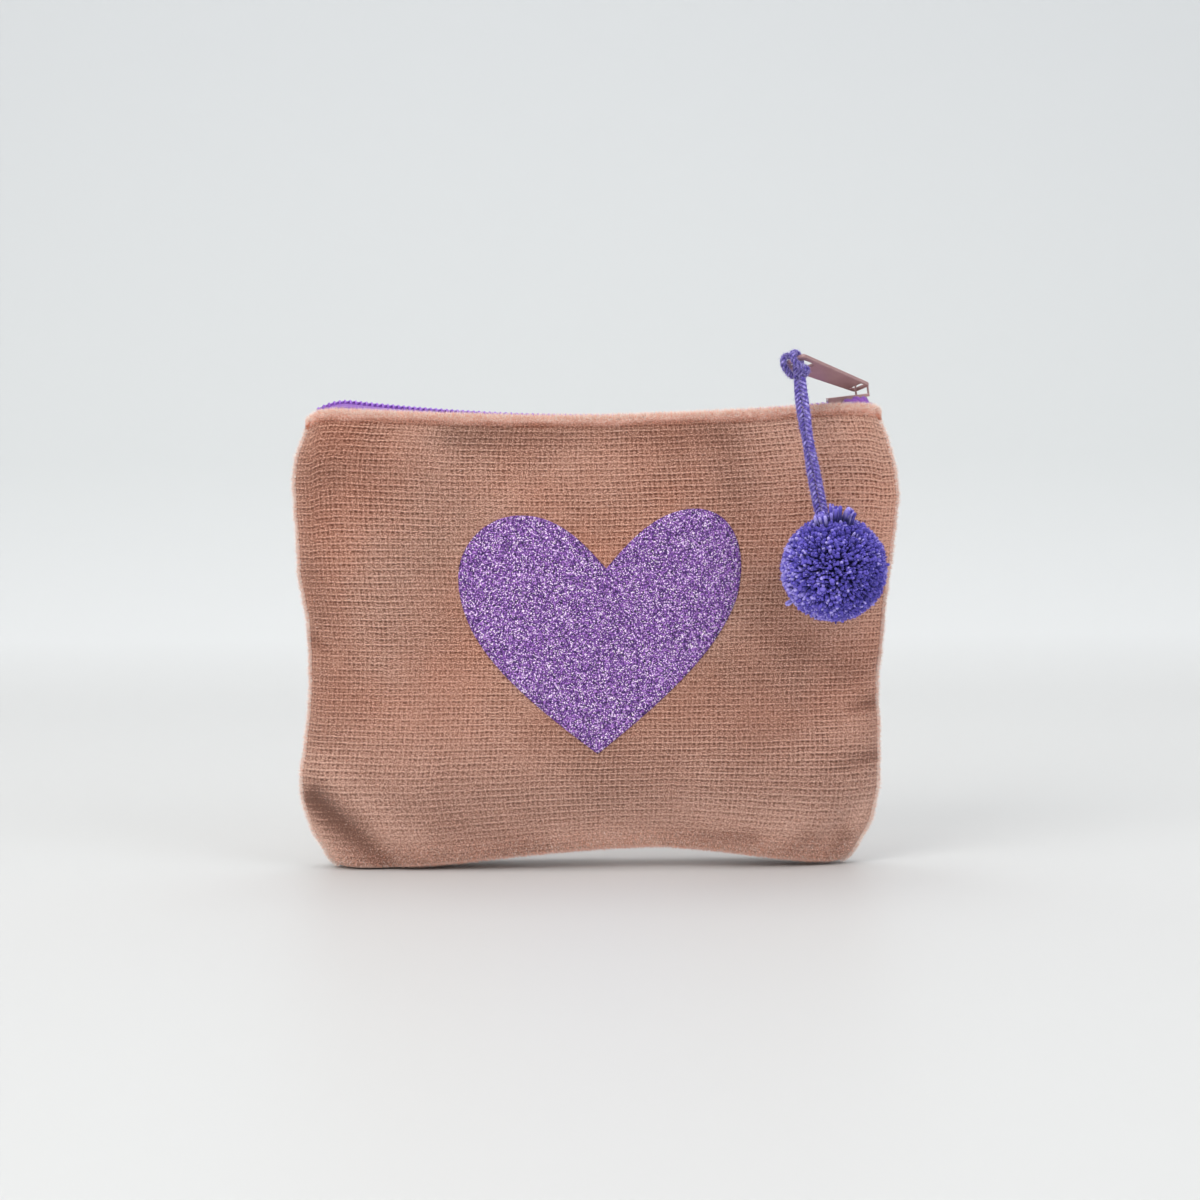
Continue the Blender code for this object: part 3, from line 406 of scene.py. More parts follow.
def woven(tree, rib_pitch, yarn_pitch, unevenness):
    """A piece's flat cloth lengths, and the weave laid along them."""
    cloth = add_node(tree, "UVMap", {}, uv_map="Cloth").outputs["UV"]
    sizes = {"Cloth": cloth, "Rib Pitch": rib_pitch, "Yarn Pitch": yarn_pitch, "Unevenness": unevenness}
    return cloth, add_node(tree, "Group", sizes, node_tree=ribbed_cloth).outputs


def noise(tree, vector, scale, detail=3.0, roughness=0.55):
    inputs = {"Vector": vector, "Scale": scale, "Detail": detail, "Roughness": roughness}
    return add_node(tree, "TexNoise", inputs).outputs["Fac"]


def attribute(tree, name):
    """A value kept for each point of the mesh."""
    return add_node(tree, "Attribute", {}, attribute_name=name).outputs["Fac"]


def fade(tree, factor, low, high):
    """A strength that goes from low to high as the factor goes from 0 to 1."""
    return add_node(tree, "MapRange", {"Value": factor, "To Min": low, "To Max": high}).outputs["Result"]


def bump(tree, surface, height, strength, distance):
    """Raises the surface by a height from 0 to 1 over a distance in millimetres."""
    raised = add_node(tree, "Bump", {"Height": height, "Strength": strength, "Distance": distance * MM})
    fill(tree, surface, {"Normal": raised.outputs["Normal"]})


def velvet_material():
    made, tree, surface = new_material("ribbed_velvet", 0.9)
    cloth, weave = woven(tree, RIB_PITCH, YARN_PITCH, 1.0)
    brim = attribute(tree, "brim")
    place = object_place(tree)
    along = add_node(tree, "SeparateXYZ", {0: place}).outputs
    fibre = noise(tree, cloth, 1.8, 3.0, 0.8)
    fleck = noise(tree, cloth, 3.6, 2.0, 0.7)
    # The weave shows less where the pile is brushed up, on the brim and near the ground.
    brushed = ramp(tree, noise(tree, place, 42.0), 0.36, 0.66)
    flat = ramp(tree, along["Z"], 0.021, 0.008)
    bare = maths(tree, "SUBTRACT", 1.0, maths(tree, "MULTIPLY", brim, 0.85))
    shown = maths(tree, "MULTIPLY", fade(tree, brushed, 1.0, 0.5), bare)
    shown = maths(tree, "MULTIPLY", shown, fade(tree, flat, 1.0, 0.5))
    uneven = maths(tree, "MULTIPLY_ADD", weave["Chance"], 1.3, 0.35)
    yarns = maths(tree, "MULTIPLY", weave["Yarns"], 0.05)
    grid = maths(tree, "MULTIPLY_ADD", maths(tree, "MULTIPLY", weave["Ribs"], uneven), 0.27, yarns)
    # Painted shade in the hollow cells below each rib.
    dark = maths(tree, "MULTIPLY", maths(tree, "MULTIPLY", weave["Cells"], uneven), 0.62)
    grid = maths(tree, "SUBTRACT", grid, dark)
    # One value from dark to light, then read as a warm and a greyer rose.
    value = maths(tree, "MULTIPLY_ADD", grid, shown, 0.55)
    value = maths(tree, "MULTIPLY_ADD", maths(tree, "SUBTRACT", fibre, 0.5), 2.3, value)
    value = maths(tree, "MULTIPLY_ADD", maths(tree, "SUBTRACT", fleck, 0.5), 1.8, value)
    # Brushed pile patches, with painted shade in the creases and painted highlights on the ridges beside them.
    value = maths(tree, "ADD", value, attribute(tree, "brushed"))
    lit = maths(tree, "MULTIPLY", ramp(tree, along["X"], 0.028, 0.07), ramp(tree, along["Z"], 0.05, 0.105))
    value = maths(tree, "MULTIPLY_ADD", lit, 0.2, value)
    value = maths(tree, "MULTIPLY_ADD", flat, 0.02, value)
    stroked = ramp(tree, noise(tree, place, 30.0, 3.0), 0.3, 0.7)
    value = maths(tree, "MULTIPLY_ADD", maths(tree, "SUBTRACT", stroked, 0.5), 0.22, value)
    warm = ramp_colours(tree, value, (0.0, "6B3F31"), (0.3, "926150"), (0.55, "B07963"), (1.0, "E4B09A"))
    grey = ramp_colours(tree, value, (0.0, "65473C"), (0.3, "8B6657"), (0.55, "A9806F"), (1.0, "DFB7A5"))
    patch = ramp(tree, noise(tree, place, 17.0, 4.0), 0.38, 0.66)
    low = ramp(tree, along["Z"], 0.06, 0.02)
    body = tint(tree, maths(tree, "MAXIMUM", patch, low), warm, grey)
    body = tint(tree, maths(tree, "MULTIPLY", low, 0.14), body, "A07C70")
    # Painted highlight where the cloth turns, paler along the folded brim, the side edges and the base.
    pale = tint(tree, ramp(tree, maths(tree, "ADD", fibre, fleck), 0.85, 1.15), "E6A88F", "FFEFE5")
    body = tint(tree, maths(tree, "MULTIPLY", maths(tree, "POWER", brim, 2.0), 0.95), body, pale)
    # Painted sheen: paler where the cloth is seen edge on.
    edge_on = add_node(tree, "LayerWeight", {"Blend": 0.35}).outputs["Facing"]
    body = tint(tree, maths(tree, "MULTIPLY", maths(tree, "POWER", edge_on, 2.6), 0.95), body, "F8DACB")
    fill(tree, surface, {"Base Color": body, "Specular IOR Level": 0.1, "Sheen Weight": 0.35,
                         "Sheen Roughness": 0.45, "Sheen Tint": "E9C6BA"})
    weave_height = maths(tree, "MULTIPLY", weave["Height"], shown)
    bump(tree, surface, maths(tree, "MULTIPLY_ADD", fibre, 0.8, weave_height), 0.8, 0.3)
    return made


def thicken(piece, thickness):
    """Gives a sheet its thickness inwards, in millimetres."""
    cloth = piece.modifiers.new("cloth", "SOLIDIFY")
    cloth.thickness = thickness * MM
    cloth.offset = -1.0


velvet = velvet_material()
panels = {}
for side, facing in (("front", FRONT), ("back", BACK)):
    mesh = panel_mesh(f"{side}_velvet", 150, 150, facing, TOP_ROW + 2)
    mesh.materials.append(velvet)
    panel = show(mesh, f"{side}_velvet", "bag")
    thicken(panel, CLOTH_THICKNESS)
    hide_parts(f"{side}_panel")
    panels[facing] = panel


def keep_values(mesh, name, values):
    """Keeps a value for each point of a mesh, for its material."""
    mesh.attributes.new(name, "FLOAT", "POINT").data.foreach_set("value", np.asarray(values, np.float32))


def hairs(name, roots, normals, lengths, widths, lean, shades, finish, body):
    """Fine upright fibres, one narrow triangle each, with a shade of its own. Lengths are in millimetres."""
    count = len(roots)
    crosswise = np.cross(normals, random.normal(0, 1, (count, 3)))
    crosswise /= np.linalg.norm(crosswise, axis=1)[:, None]
    ways = normals + random.normal(0, lean, (count, 3))
    ways /= np.linalg.norm(ways, axis=1)[:, None]
    foot = roots - normals * 0.08
    wide = crosswise * (np.asarray(widths) / 2).reshape(-1, 1)
    ends = roots + ways * np.asarray(lengths).reshape(-1, 1)
    verts = np.stack((foot - wide, foot + wide, ends), axis=1).reshape(-1, 3)
    verts[:, 2] = np.maximum(verts[:, 2], 0.02)
    mesh = bpy.data.meshes.new(name)
    mesh.from_pydata(verts * MM, [], np.arange(count * 3).reshape(-1, 3).tolist())
    keep_values(mesh, "shade", np.repeat(shades, 3))
    mesh.materials.append(finish)
    return show(mesh, name, body)


def hair_material(name, *stops):
    made, tree, surface = new_material(name, 0.9)
    colour = ramp_colours(tree, attribute(tree, "shade"), *stops)
    fill(tree, surface, {"Base Color": colour, "Specular IOR Level": 0.1})
    return made


# The velvet's own pile, woven into the panels. It stands up where the cloth turns: along the folded brim, round
# the sides and under the base.
velvet_pile = hair_material("velvet_pile", (0.0, "C07A5E"), (0.5, "F5B89F"), (1.0, "FFF4EC"))
random = np.random.default_rng(5)
# Zones: count, places across, rows, length, shade. Sides are mirrored by chance. The pale shades of the brim, side
# and base zones are painted highlight where the cloth turns.
pile_zones = (
    (40000, (0.0, 1.0), (TOP_ROW - 0.24, TOP_ROW + 0.95), (0.4, 1.5), 0.88),
    (16000, (0.985, 0.999), (2.5, TOP_ROW + 0.3), (0.4, 1.2), 0.95),
    (13000, (0.0, 0.97), (1.4, 4.1), (0.4, 0.85), 0.62),
    (26000, (0.0, 0.97), (4.0, TOP_ROW - 0.3), (0.3, 0.6), 0.42),
)
for side, facing in (("front", FRONT), ("back", BACK)):
    across, row, lengths, shades = [], [], [], []
    for count, sideways, rows, long, shade in pile_zones:
        across.append(random.uniform(*sideways, count) * random.choice((-1, 1), count))
        row.append(random.uniform(*rows, count))
        lengths.append(random.uniform(*long, count))
        shades.append(np.clip(random.normal(shade, 0.26, count), 0, 1))
    across, row, lengths, shades = (np.concatenate(parts) for parts in (across, row, lengths, shades))
    under_brim = (row > TOP_ROW - 0.25) * ease((TOP_ROW + 0.05 - row) / 0.3)
    shades = np.clip(shades - 0.8 * under_brim, 0, 1)
    lengths *= 1 - 0.4 * under_brim
    roots = panel_places(across, row, facing)
    step = 0.002 * np.sign(across)
    beside = (panel_places(across - step, row, facing) - roots) * -np.sign(across)[:, None]
    above = panel_places(across, row + 0.01, facing) - roots
    normals = np.cross(beside, above) * -facing
    normals /= np.maximum(np.linalg.norm(normals, axis=1), 1e-9)[:, None]
    clear = roots[:, 2] > 1.0
    pile_of = hairs(f"{side}_pile", roots[clear], normals[clear], lengths[clear], 0.13, 0.35, shades[clear],
                    velvet_pile, "bag")
    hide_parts(f"{side}_panel")


# The lining. Plain pale cotton, two walls sewn down the sides and along the bottom into a loose inner bag, its top
# edge caught under the folded velvet with the zip tape.
LINING_WIDTH, LINING_HEIGHT = 0.955, 0.965
LINING_INWARD, LINING_UPWARD = 2.0, 2.6


def point_places(mesh):
    flat = np.zeros(len(mesh.vertices) * 3)
    mesh.vertices.foreach_get("co", flat)
    return flat.reshape(-1, 3)


cotton, tree, surface = new_material("lining_cotton", 0.9)
weave = woven(tree, 0.5, 0.5, 0.3)[1]
# Painted shade in the weave's hollow cells.
fill(tree, surface, {"Base Color": tint(tree, weave["Cells"], "D8BBB0", "B08D80")})
bump(tree, surface, weave["Height"], 0.5, 0.1)
for side, facing in (("front", FRONT), ("back", BACK)):
    mesh = panel_mesh(f"{side}_inner_wall", 60, 60, facing, TOP_ROW + 0.1)
    flat = point_places(mesh)
    flat[:, 0] *= LINING_WIDTH
    flat[:, 1] = facing * np.maximum(np.abs(flat[:, 1]) - LINING_INWARD * MM, 0.3 * MM)
    flat[:, 2] = np.clip(LINING_UPWARD * MM + flat[:, 2] * LINING_HEIGHT, 0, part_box(f"{side}_lining")[1].z)
    mesh.vertices.foreach_set("co", flat.ravel())
    mesh.materials.append(cotton)
    wall = show(mesh, f"{side}_inner_wall", "bag")
    thicken(wall, 0.3)
    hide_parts(f"{side}_lining")


# The heart. A film of purple glitter flakes in clear binder, cut to the outline and pressed onto the front velvet
# with heat, so that it follows the cloth and stands a little proud of it.
HEART_HALF_WIDTH = 39.1
HEART_HEIGHT = 66.7
HEART_TIP = (-0.75, 33.0)
HEART_SLANT = 0.019
HEART_RISE = 0.031
LOBE_SHIFT = 1.8
HEART_CELL = 1.5
# How far the film's two faces stand off the velvet.
FILM_UNDERSIDE, FILM_FACE = 0.02, 0.28
heart_curves = (
    ((0.0, 0.767), (0.14, 0.86), (0.33, 1.0), (0.62, 1.0)),
    ((0.62, 1.0), (0.83, 1.0), (1.0, 0.90), (1.0, 0.75)),
    ((1.0, 0.75), (1.0, 0.50), (0.62, 0.28), (0.0, 0.0)),
)


def cubic(a, b, c, d, t):
    s = 1 - t
    return [s**3 * p + 3 * s * s * t * q + 3 * s * t * t * r + t**3 * w for p, q, r, w in zip(a, b, c, d)]


half = [cubic(*curve, k / 24) for curve in heart_curves for k in range(24)] + [[0.0, 0.0]]
outline = half + [[-x, z] for x, z in reversed(half[1:-1])]
bm = bmesh.new()
ring = []
for across, up in outline:
    x, z = across * HEART_HALF_WIDTH, up * HEART_HEIGHT
    slid = HEART_SLANT * z + LOBE_SHIFT * (1 - across**4) * float(ease((up - 0.5) / 0.25))
    ring.append(bm.verts.new(((HEART_TIP[0] + x + slid) * MM, 0, (HEART_TIP[1] + z + HEART_RISE * x) * MM)))
bm.faces.new(ring)
corner = Vector((-40 * MM, 0, 30 * MM))
for normal, steps in ((Vector((1, 0, 0)), 56), (Vector((0, 0, 1)), 48)):
    for k in range(1, steps):
        geometry = bm.verts[:] + bm.edges[:] + bm.faces[:]
        at = corner + normal * k * HEART_CELL * MM
        bmesh.ops.bisect_plane(bm, geom=geometry, plane_co=at, plane_no=normal, dist=1e-6)
bmesh.ops.triangulate(bm, faces=bm.faces[:])
under = set(bm.verts)
bmesh.ops.extrude_face_region(bm, geom=bm.faces[:], use_keep_orig=True)
velvet_form = BVHTree.FromPolygons(
    [v.co for v in panels[FRONT].data.vertices], [p.vertices for p in panels[FRONT].data.polygons]
)
for vert in bm.verts:
    hit = velvet_form.ray_cast(Vector((vert.co.x, -0.1, vert.co.z)), Vector((0, 1, 0)))
    lift = FILM_UNDERSIDE if vert in under else FILM_FACE
    vert.co.y = hit[0].y - (SEAM_PLANE + lift) * MM
bmesh.ops.recalc_face_normals(bm, faces=bm.faces)
mesh = drawn_mesh(bm, "glitter_heart")
glitter, tree, surface = new_material("glitter_film", 0.36, 0.35)
flakes = add_node(tree, "TexVoronoi", {"Scale": 3900.0, "Vector": object_place(tree)}).outputs["Color"]
chance = add_node(tree, "SeparateColor", {"Color": flakes}).outputs["Red"]
# The flakes' own purples, with the palest near white as painted sparkle.
tone = ramp_colours(tree, chance, (0.0, "100420"), (0.36, "45206C"), (0.68, "9358B6"), (0.84, "C08AD8"),
                    (0.93, "FFEAFF"))
# Each flake lies a little askew, so that only some of them flash.
face_way = add_node(tree, "NewGeometry", {}).outputs["Normal"]
lean = vector_maths(tree, "SUBTRACT", flakes, (0.5, 0.5, 0.5))
leaned = vector_maths(tree, "MULTIPLY_ADD", lean, (0.9, 0.9, 0.9), face_way)
fill(tree, surface, {"Base Color": tone, "Normal": vector_maths(tree, "NORMALIZE", leaned)})
mesh.materials.append(glitter)
heart = show(mesh, "glitter_heart", "bag")
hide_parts("heart_print")


# The zip. Two woven purple tapes with a nylon coil sewn along each, the coils meshed down the middle of the mouth.
# Its ends are turned down into the side seams, so the chain curves over at both corners.
ZIP_RADIUS = 600.0
ZIP_LOW_X = 5.0
ZIP_LOW_HEIGHT = 125.5
COIL_PITCH = 1.5
COIL_LEFT_END = -78.5
COIL_RIGHT_END = 76.4
CLOSED_PLACE = 70.1


def zip_place(at, y, up):
    """A point by its place along the zip, across it and out of the bag, with the ends curved over."""
    angle = (at - ZIP_LOW_X) / ZIP_RADIUS
    x = ZIP_LOW_X + (ZIP_RADIUS - up) * np.sin(angle)
    z = ZIP_LOW_HEIGHT + ZIP_RADIUS - (ZIP_RADIUS - up) * np.cos(angle)
    droop = 3.4 * np.clip((-at - 68.5) / 10, 0, 1) ** 2 + 2.6 * np.clip((at - 72.4) / 4, 0, 1) ** 2
    bunch = 0.7 * ease((at - 66) / 4) * ease((78 - at) / 5)
    return np.stack((x, y + 0 * x, z + bunch - droop), axis=-1)


def coil_gap(at):
    return 1.8 * ease((at - CLOSED_PLACE + 2.6) / 6.4)


def curve_piece(name, lines, radius, body, finish, resolution=1):
    """Round wires or yarns swept along lines of points in millimetres, as one mesh."""
    data = bpy.data.curves.new(name, "CURVE")
    data.dimensions = "3D"
    data.bevel_depth = radius * MM
    data.bevel_resolution = resolution
    data.use_fill_caps = True
    for points in lines:
        spline = data.splines.new("POLY")
        spline.points.add(len(points) - 1)
        flat = np.c_[np.asarray(points) * MM, np.ones(len(points))]
        spline.points.foreach_set("co", flat.ravel())
    holder = bpy.data.objects.new(name, data)
    bpy.context.collection.objects.link(holder)
    mesh = bpy.data.meshes.new_from_object(holder)
    bpy.data.objects.remove(holder)
    bpy.data.curves.remove(data)
    mesh.name = name
    mesh.shade_smooth()
    mesh.materials.clear()
    mesh.materials.append(finish)
    return show(mesh, name, body)


nylon, tree, surface = new_material("zip_nylon", 0.36)
mottle = noise(tree, object_place(tree), 900.0)
fill(tree, surface, {"Base Color": tint(tree, ramp(tree, mottle, 0.3, 0.7), "8048B8", "A874DC"),
                     "Subsurface Weight": 0.1, "Subsurface Scale": 0.5 * MM})
bump(tree, surface, mottle, 0.2, 0.05)

tape_cloth, tree, surface = new_material("zip_tape_cloth", 0.8)
weave = woven(tree, 0.55, 0.42, 0.25)[1]
# Painted shade in the weave's hollow cells.
fill(tree, surface, {"Base Color": tint(tree, weave["Cells"], "9558BE", "6A3490"), "Sheen Weight": 0.3})
bump(tree, surface, weave["Height"], 0.7, 0.12)

WIRE_RADIUS, CORE_RADIUS = 0.36, 0.3
WIRE_STEPS = 14
SQUARED = 0.72
# Shares of the tape's width that lie level and that turn down.
TAPE_LEVEL, TAPE_DOWN = 0.65, 0.35
for side, facing in (("front", FRONT), ("back", BACK)):
    turns = int((COIL_RIGHT_END - COIL_LEFT_END) / COIL_PITCH)
    theta = np.arange(turns * WIRE_STEPS + 1) / WIRE_STEPS * 2 * np.pi
    at = COIL_LEFT_END + theta / (2 * np.pi) * COIL_PITCH + (0 if facing == FRONT else COIL_PITCH / 2)
    swing = np.sign(np.cos(theta)) * np.abs(np.cos(theta)) ** SQUARED
    lift = np.sign(np.sin(theta)) * np.abs(np.sin(theta)) ** SQUARED
    y = facing * (1.2 - 1.55 * swing + coil_gap(at))
    points = zip_place(at, y, 0.8 * lift - (0.3 if facing == BACK else 0.0))
    coil = curve_piece(f"coil_{side}", [points], WIRE_RADIUS, "bag", nylon)
    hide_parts(f"zip_coil_{side}")
    line = np.linspace(COIL_LEFT_END + 0.5, COIL_RIGHT_END - 0.5, 120)
    points = zip_place(line, facing * (1.5 + coil_gap(line)), 0.0 * line)
    core = curve_piece(f"coil_core_{side}", [points], CORE_RADIUS, "bag", tape_cloth)
    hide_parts(f"zip_core_{side}")

    # The tape: level from the coil to the velvet's fold, then turned down inside it.
    bm = bmesh.new()
    bmesh.ops.create_grid(bm, x_segments=180, y_segments=16, size=1.0)
    flat = np.array([v.co[:2] for v in bm.verts])
    at = np.interp(flat[:, 0], (-1, 1), (COIL_LEFT_END - 0.4, COIL_RIGHT_END + 0.2))
    t = (flat[:, 1] + 1) / 2
    full = np.sqrt(np.maximum(0, 1 - np.clip(np.abs(at) / 80.0, 0, 1) ** 13))
    outer = np.maximum(SEAM_GAP + BELLY_DEPTH * 0.7 * full - 2 * FOLD_RADIUS - 0.9, 0.3)
    edge = np.minimum(0.9 + coil_gap(at) * 0.6, outer * 0.9)
    level = np.clip(t / TAPE_LEVEL, 0, 1)
    down = np.clip((t - TAPE_LEVEL) / TAPE_DOWN, 0, 1)
    y = edge + (outer - edge) * level
    height = -1.15 + 0.75 * ease(1 - np.abs(level - 0.35) * 2.2) - 5.0 * down
    # Beside the closed slider the front tape is pushed up in a pucker.
    pucker = ease((at - 66.5) / 3) * ease((78.5 - at) / 1.2) * (0.8 + 0.2 * np.sin(at * 2.3)) * (facing == FRONT)
    height += (2.1 + 0.25 * np.clip(at - 71, 0, 7)) * pucker * ease(1 - np.abs(level - 0.8) * 4.5)
    lengths = {}
    for vert, place, *flat_at in zip(bm.verts, zip_place(at, facing * y, height), at, y - height * (down > 0)):
        vert.co = place * MM
        lengths[vert] = flat_at
    lay_cloth(bm, lengths)
    mesh = drawn_mesh(bm, f"tape_{side}")
    mesh.materials.append(tape_cloth)
    tape = show(mesh, f"tape_{side}", "bag")
    thicken(tape, 0.35)
    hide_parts(f"zip_tape_{side}")


# The sewing threads. Matt spun polyester, which joins the velvet's seams, the lining's seams and the zip tapes.
# They lie inside the bag, out of sight.
def paint(names, finish):
    """Gives its finish to each piece of the part that is used as it is."""
    for name in names:
        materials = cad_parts[name].data.materials
        materials.clear()
        materials.append(finish)


thread, tree, surface = new_material("sewing_thread", 0.8)
twist = noise(tree, object_place(tree), 2500.0)
fill(tree, surface, {"Base Color": tint(tree, twist, "9C7060", "C79C8C")})
bump(tree, surface, twist, 0.5, 0.05)
paint(("zip_seam_thread_front", "zip_seam_thread_back"), thread)
SEAM_ROW = 1.2
for name, inside in (("shell_seam_thread", 2.1), ("lining_seam_thread", 5.6)):
    up = np.linspace(SEAM_ROW, TOP_ROW - 0.5, 30)
    row = np.r_[up[::-1], np.full(60, SEAM_ROW), up]
    across = np.r_[np.full(30, -1.0), np.linspace(-1, 1, 60), np.full(30, 1.0)]
    stitches = panel_places(across, row, FRONT)
    stitches[:, 0] *= 1 - inside / 82
    stitches[:, 1] = 0.3 * (-1) ** np.arange(len(row))
    stitches[:, 2] = stitches[:, 2] * (1 - inside / BAG_HEIGHT) + inside
    seam = curve_piece(f"{name}_sewn", [stitches], 0.2, "bag", thread)
    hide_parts(name)


# The slider and its pull tab. Zinc castings sprayed a dull rose brown: the slider with its crown, the flat tab
# hooked under it, with a slot for the crown and a hole behind the end bar for the cord.
enamel, tree, surface = new_material("rose_enamel", 0.42)
cloudy = noise(tree, object_place(tree), 160.0, 4.0)
grain = noise(tree, object_place(tree), 2400.0, 2.0)
fill(tree, surface, {"Base Color": tint(tree, ramp(tree, cloudy, 0.3, 0.7), "A07A7A", "B08A88"),
                     "Coat Weight": 0.25, "Coat Roughness": 0.3})
bump(tree, surface, grain, 0.12, 0.03)
paint(("slider_body", "pull_tab"), enamel)


# The cord. Three-ply purple acrylic yarn, doubled: its loop is hitched round the tab's end bar, and the two strands
# fall side by side into the pompom, where the tie holds them.
PLY_PITCH = 3.6
tab_along = Vector((-0.720542, -0.639922, 0.267054))
tab_across = Vector((0.69287, -0.649228, 0.313744))
tab_out = Vector((-0.027393, 0.4111, 0.911179))
bar_centre = Vector((53.575, -14.583, 140.897))
beside_bar, over_bar, apart, standing = 1.95, 1.62, 1.9, 0.95
# Half of the hitch, as places along the tab, across it and out of it, from the bar's middle.
half_hitch = (
    (-2.2, standing, -4.2), (-2.1, standing, -2.1), (-beside_bar, standing, -0.2),
    (-beside_bar * 0.6, standing * 1.15, over_bar * 0.85), (0.1 * beside_bar, standing * 1.4, over_bar * 1.12),
    (beside_bar * 0.85, standing * 1.65, over_bar * 0.75), (beside_bar * 1.08, standing * 1.9, 0.0),
    (beside_bar * 0.75, standing * 2.15, -over_bar), (-beside_bar * 0.1, standing * 2.5, -over_bar * 1.45),
    (-beside_bar, standing + apart, -over_bar * 1.75),
    (-beside_bar - apart * 0.75, standing * 1.5, -over_bar * 1.85), (-beside_bar - apart, 0.0, -over_bar * 1.9),
)


def smooth_line(points, count):
    """Evenly spaced points on a smooth curve through the given ones."""
    table = np.array([tuple(p) for p in points])
    fine = smooth_rows(table, np.linspace(0, len(table) - 1, len(table) * 16))
    run = np.r_[0, np.cumsum(np.linalg.norm(np.diff(fine, axis=0), axis=1))]
    return np.stack([np.interp(np.linspace(0, run[-1], count), run, fine[:, k]) for k in range(3)], axis=1)


def plies(line, radius, pitch, hand, count=3, start=0.0):
    """The lines of the yarns that are twisted round each other along a line."""
    ahead = np.gradient(line, axis=0)
    ahead /= np.linalg.norm(ahead, axis=1)[:, None]
    side = np.cross(ahead, (0.0, 1.0, 0.15))
    side /= np.linalg.norm(side, axis=1)[:, None]
    out = np.cross(ahead, side)
    run = np.r_[0, np.cumsum(np.linalg.norm(np.diff(line, axis=0), axis=1))]
    lines = []
    for k in range(count):
        turn = (hand * (run / pitch + k / count) * 2 * np.pi + start)[:, None]
        lines.append(line + radius * (np.cos(turn) * side + np.sin(turn) * out))
    return lines


def mark_grooves(piece, line):
    """Marks how deep each place of a cord lies in the grooves between its plies, from 0 on top to 1."""
    away = point_places(piece.data)[:, None] / MM - line[None]
    deep = np.clip((0.93 - np.sqrt((away**2).sum(axis=2)).min(axis=1)) / 0.33, 0, 1)
    keep_values(piece.data, "groove", deep)


def yarn_material(name, dark, middle, light):
    """Spun yarn: fine fibres wound round each ply, painted paler where they catch the light, with painted shade in
    the grooves.
    """
    made, tree, surface = new_material(name, 0.8)
    along = add_node(tree, "SeparateXYZ", {0: add_node(tree, "UVMap", {}).outputs["UV"]}).outputs
    place = object_place(tree)
    wound = maths(tree, "MULTIPLY", along["Y"], 2 * math.pi * 95)
    wave = maths(tree, "SINE", maths(tree, "MULTIPLY_ADD", along["X"], 2 * math.pi * 3, wound))
    fibre = noise(tree, place, 1500.0, 3.0, 0.7)
    patch = noise(tree, place, 1100.0, 2.0)
    wavy = maths(tree, "MULTIPLY_ADD", wave, 0.2, fibre)
    colour = tint(tree, ramp(tree, wavy, 0.25, 0.6), dark, middle)
    colour = tint(tree, ramp(tree, patch, 0.45, 0.7), colour, light)
    # Painted shade deep in the grooves between the plies.
    colour = tint(tree, maths(tree, "MULTIPLY", attribute(tree, "groove"), 0.95), colour, "1E1552")
    fill(tree, surface, {"Base Color": colour, "Sheen Weight": 0.5, "Sheen Tint": light})
    bump(tree, surface, maths(tree, "MULTIPLY_ADD", wave, 0.25, fibre), 0.8, 0.12)
    return made


cord_yarn = yarn_material("cord_yarn", "3F3192", "6D58C0", "C0B2F6")
cord_end = Vector((0.209404, -0.199432, -0.957276))
leave = Vector((55.284, -15.025, 136.209)) - tab_out * 0.3
arrive = Vector((63.307, -25.266, 86.332))
route = (leave, leave - tab_out * 10, arrive - cord_end * 20, arrive)
strand_lines = {}
for side, sign in (("left", -1), ("right", 1)):
    strand = []
    for k in range(41):
        t = k / 40
        centre = Vector(cubic(*route, t))
        ahead = (Vector(cubic(*route, min(1, t + 0.01))) - Vector(cubic(*route, min(0.99, t)))).normalized()
        turning = tab_across.lerp(Vector((1, 0, 0)), float(ease(t / 0.3)))
        beside = (turning - turning.dot(ahead) * ahead).normalized()
        crossing = 0.95 * math.exp(-((t - 0.42) / 0.16) ** 2) + 0.5 * math.exp(-((t - 0.85) / 0.12) ** 2)
        beside = Matrix.Rotation(crossing, 3, ahead) @ beside
        strand.append(centre + sign * 0.95 * beside)
    strand_lines[side] = smooth_line(strand, 130)
for side, hand in (("left", 1), ("right", -1)):
    turned = plies(strand_lines[side], 0.56, PLY_PITCH, hand)
    piece = curve_piece(f"strand_{side}", turned, 0.46, "cord", cord_yarn, 2)
    mark_grooves(piece, strand_lines[side])
    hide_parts(f"cord_strand_{side}")
left = [Vector((x, -y, z)) for x, y, z in half_hitch]
right = [Vector(p) for p in reversed(half_hitch[:-1])]
hitch_knots = [bar_centre + p.x * tab_along + p.y * tab_across + p.z * tab_out for p in left + right]
hitch_line = smooth_line(hitch_knots, 110)
hitch = curve_piece("hitch_loop", plies(hitch_line, 0.52, PLY_PITCH, 1), 0.43, "hitch", cord_yarn, 2)
mark_grooves(hitch, hitch_line)
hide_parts("cord_hitch")
cord_fuzz = hair_material("cord_fuzz", (0.0, "6351B4"), (1.0, "D3C8FC"))
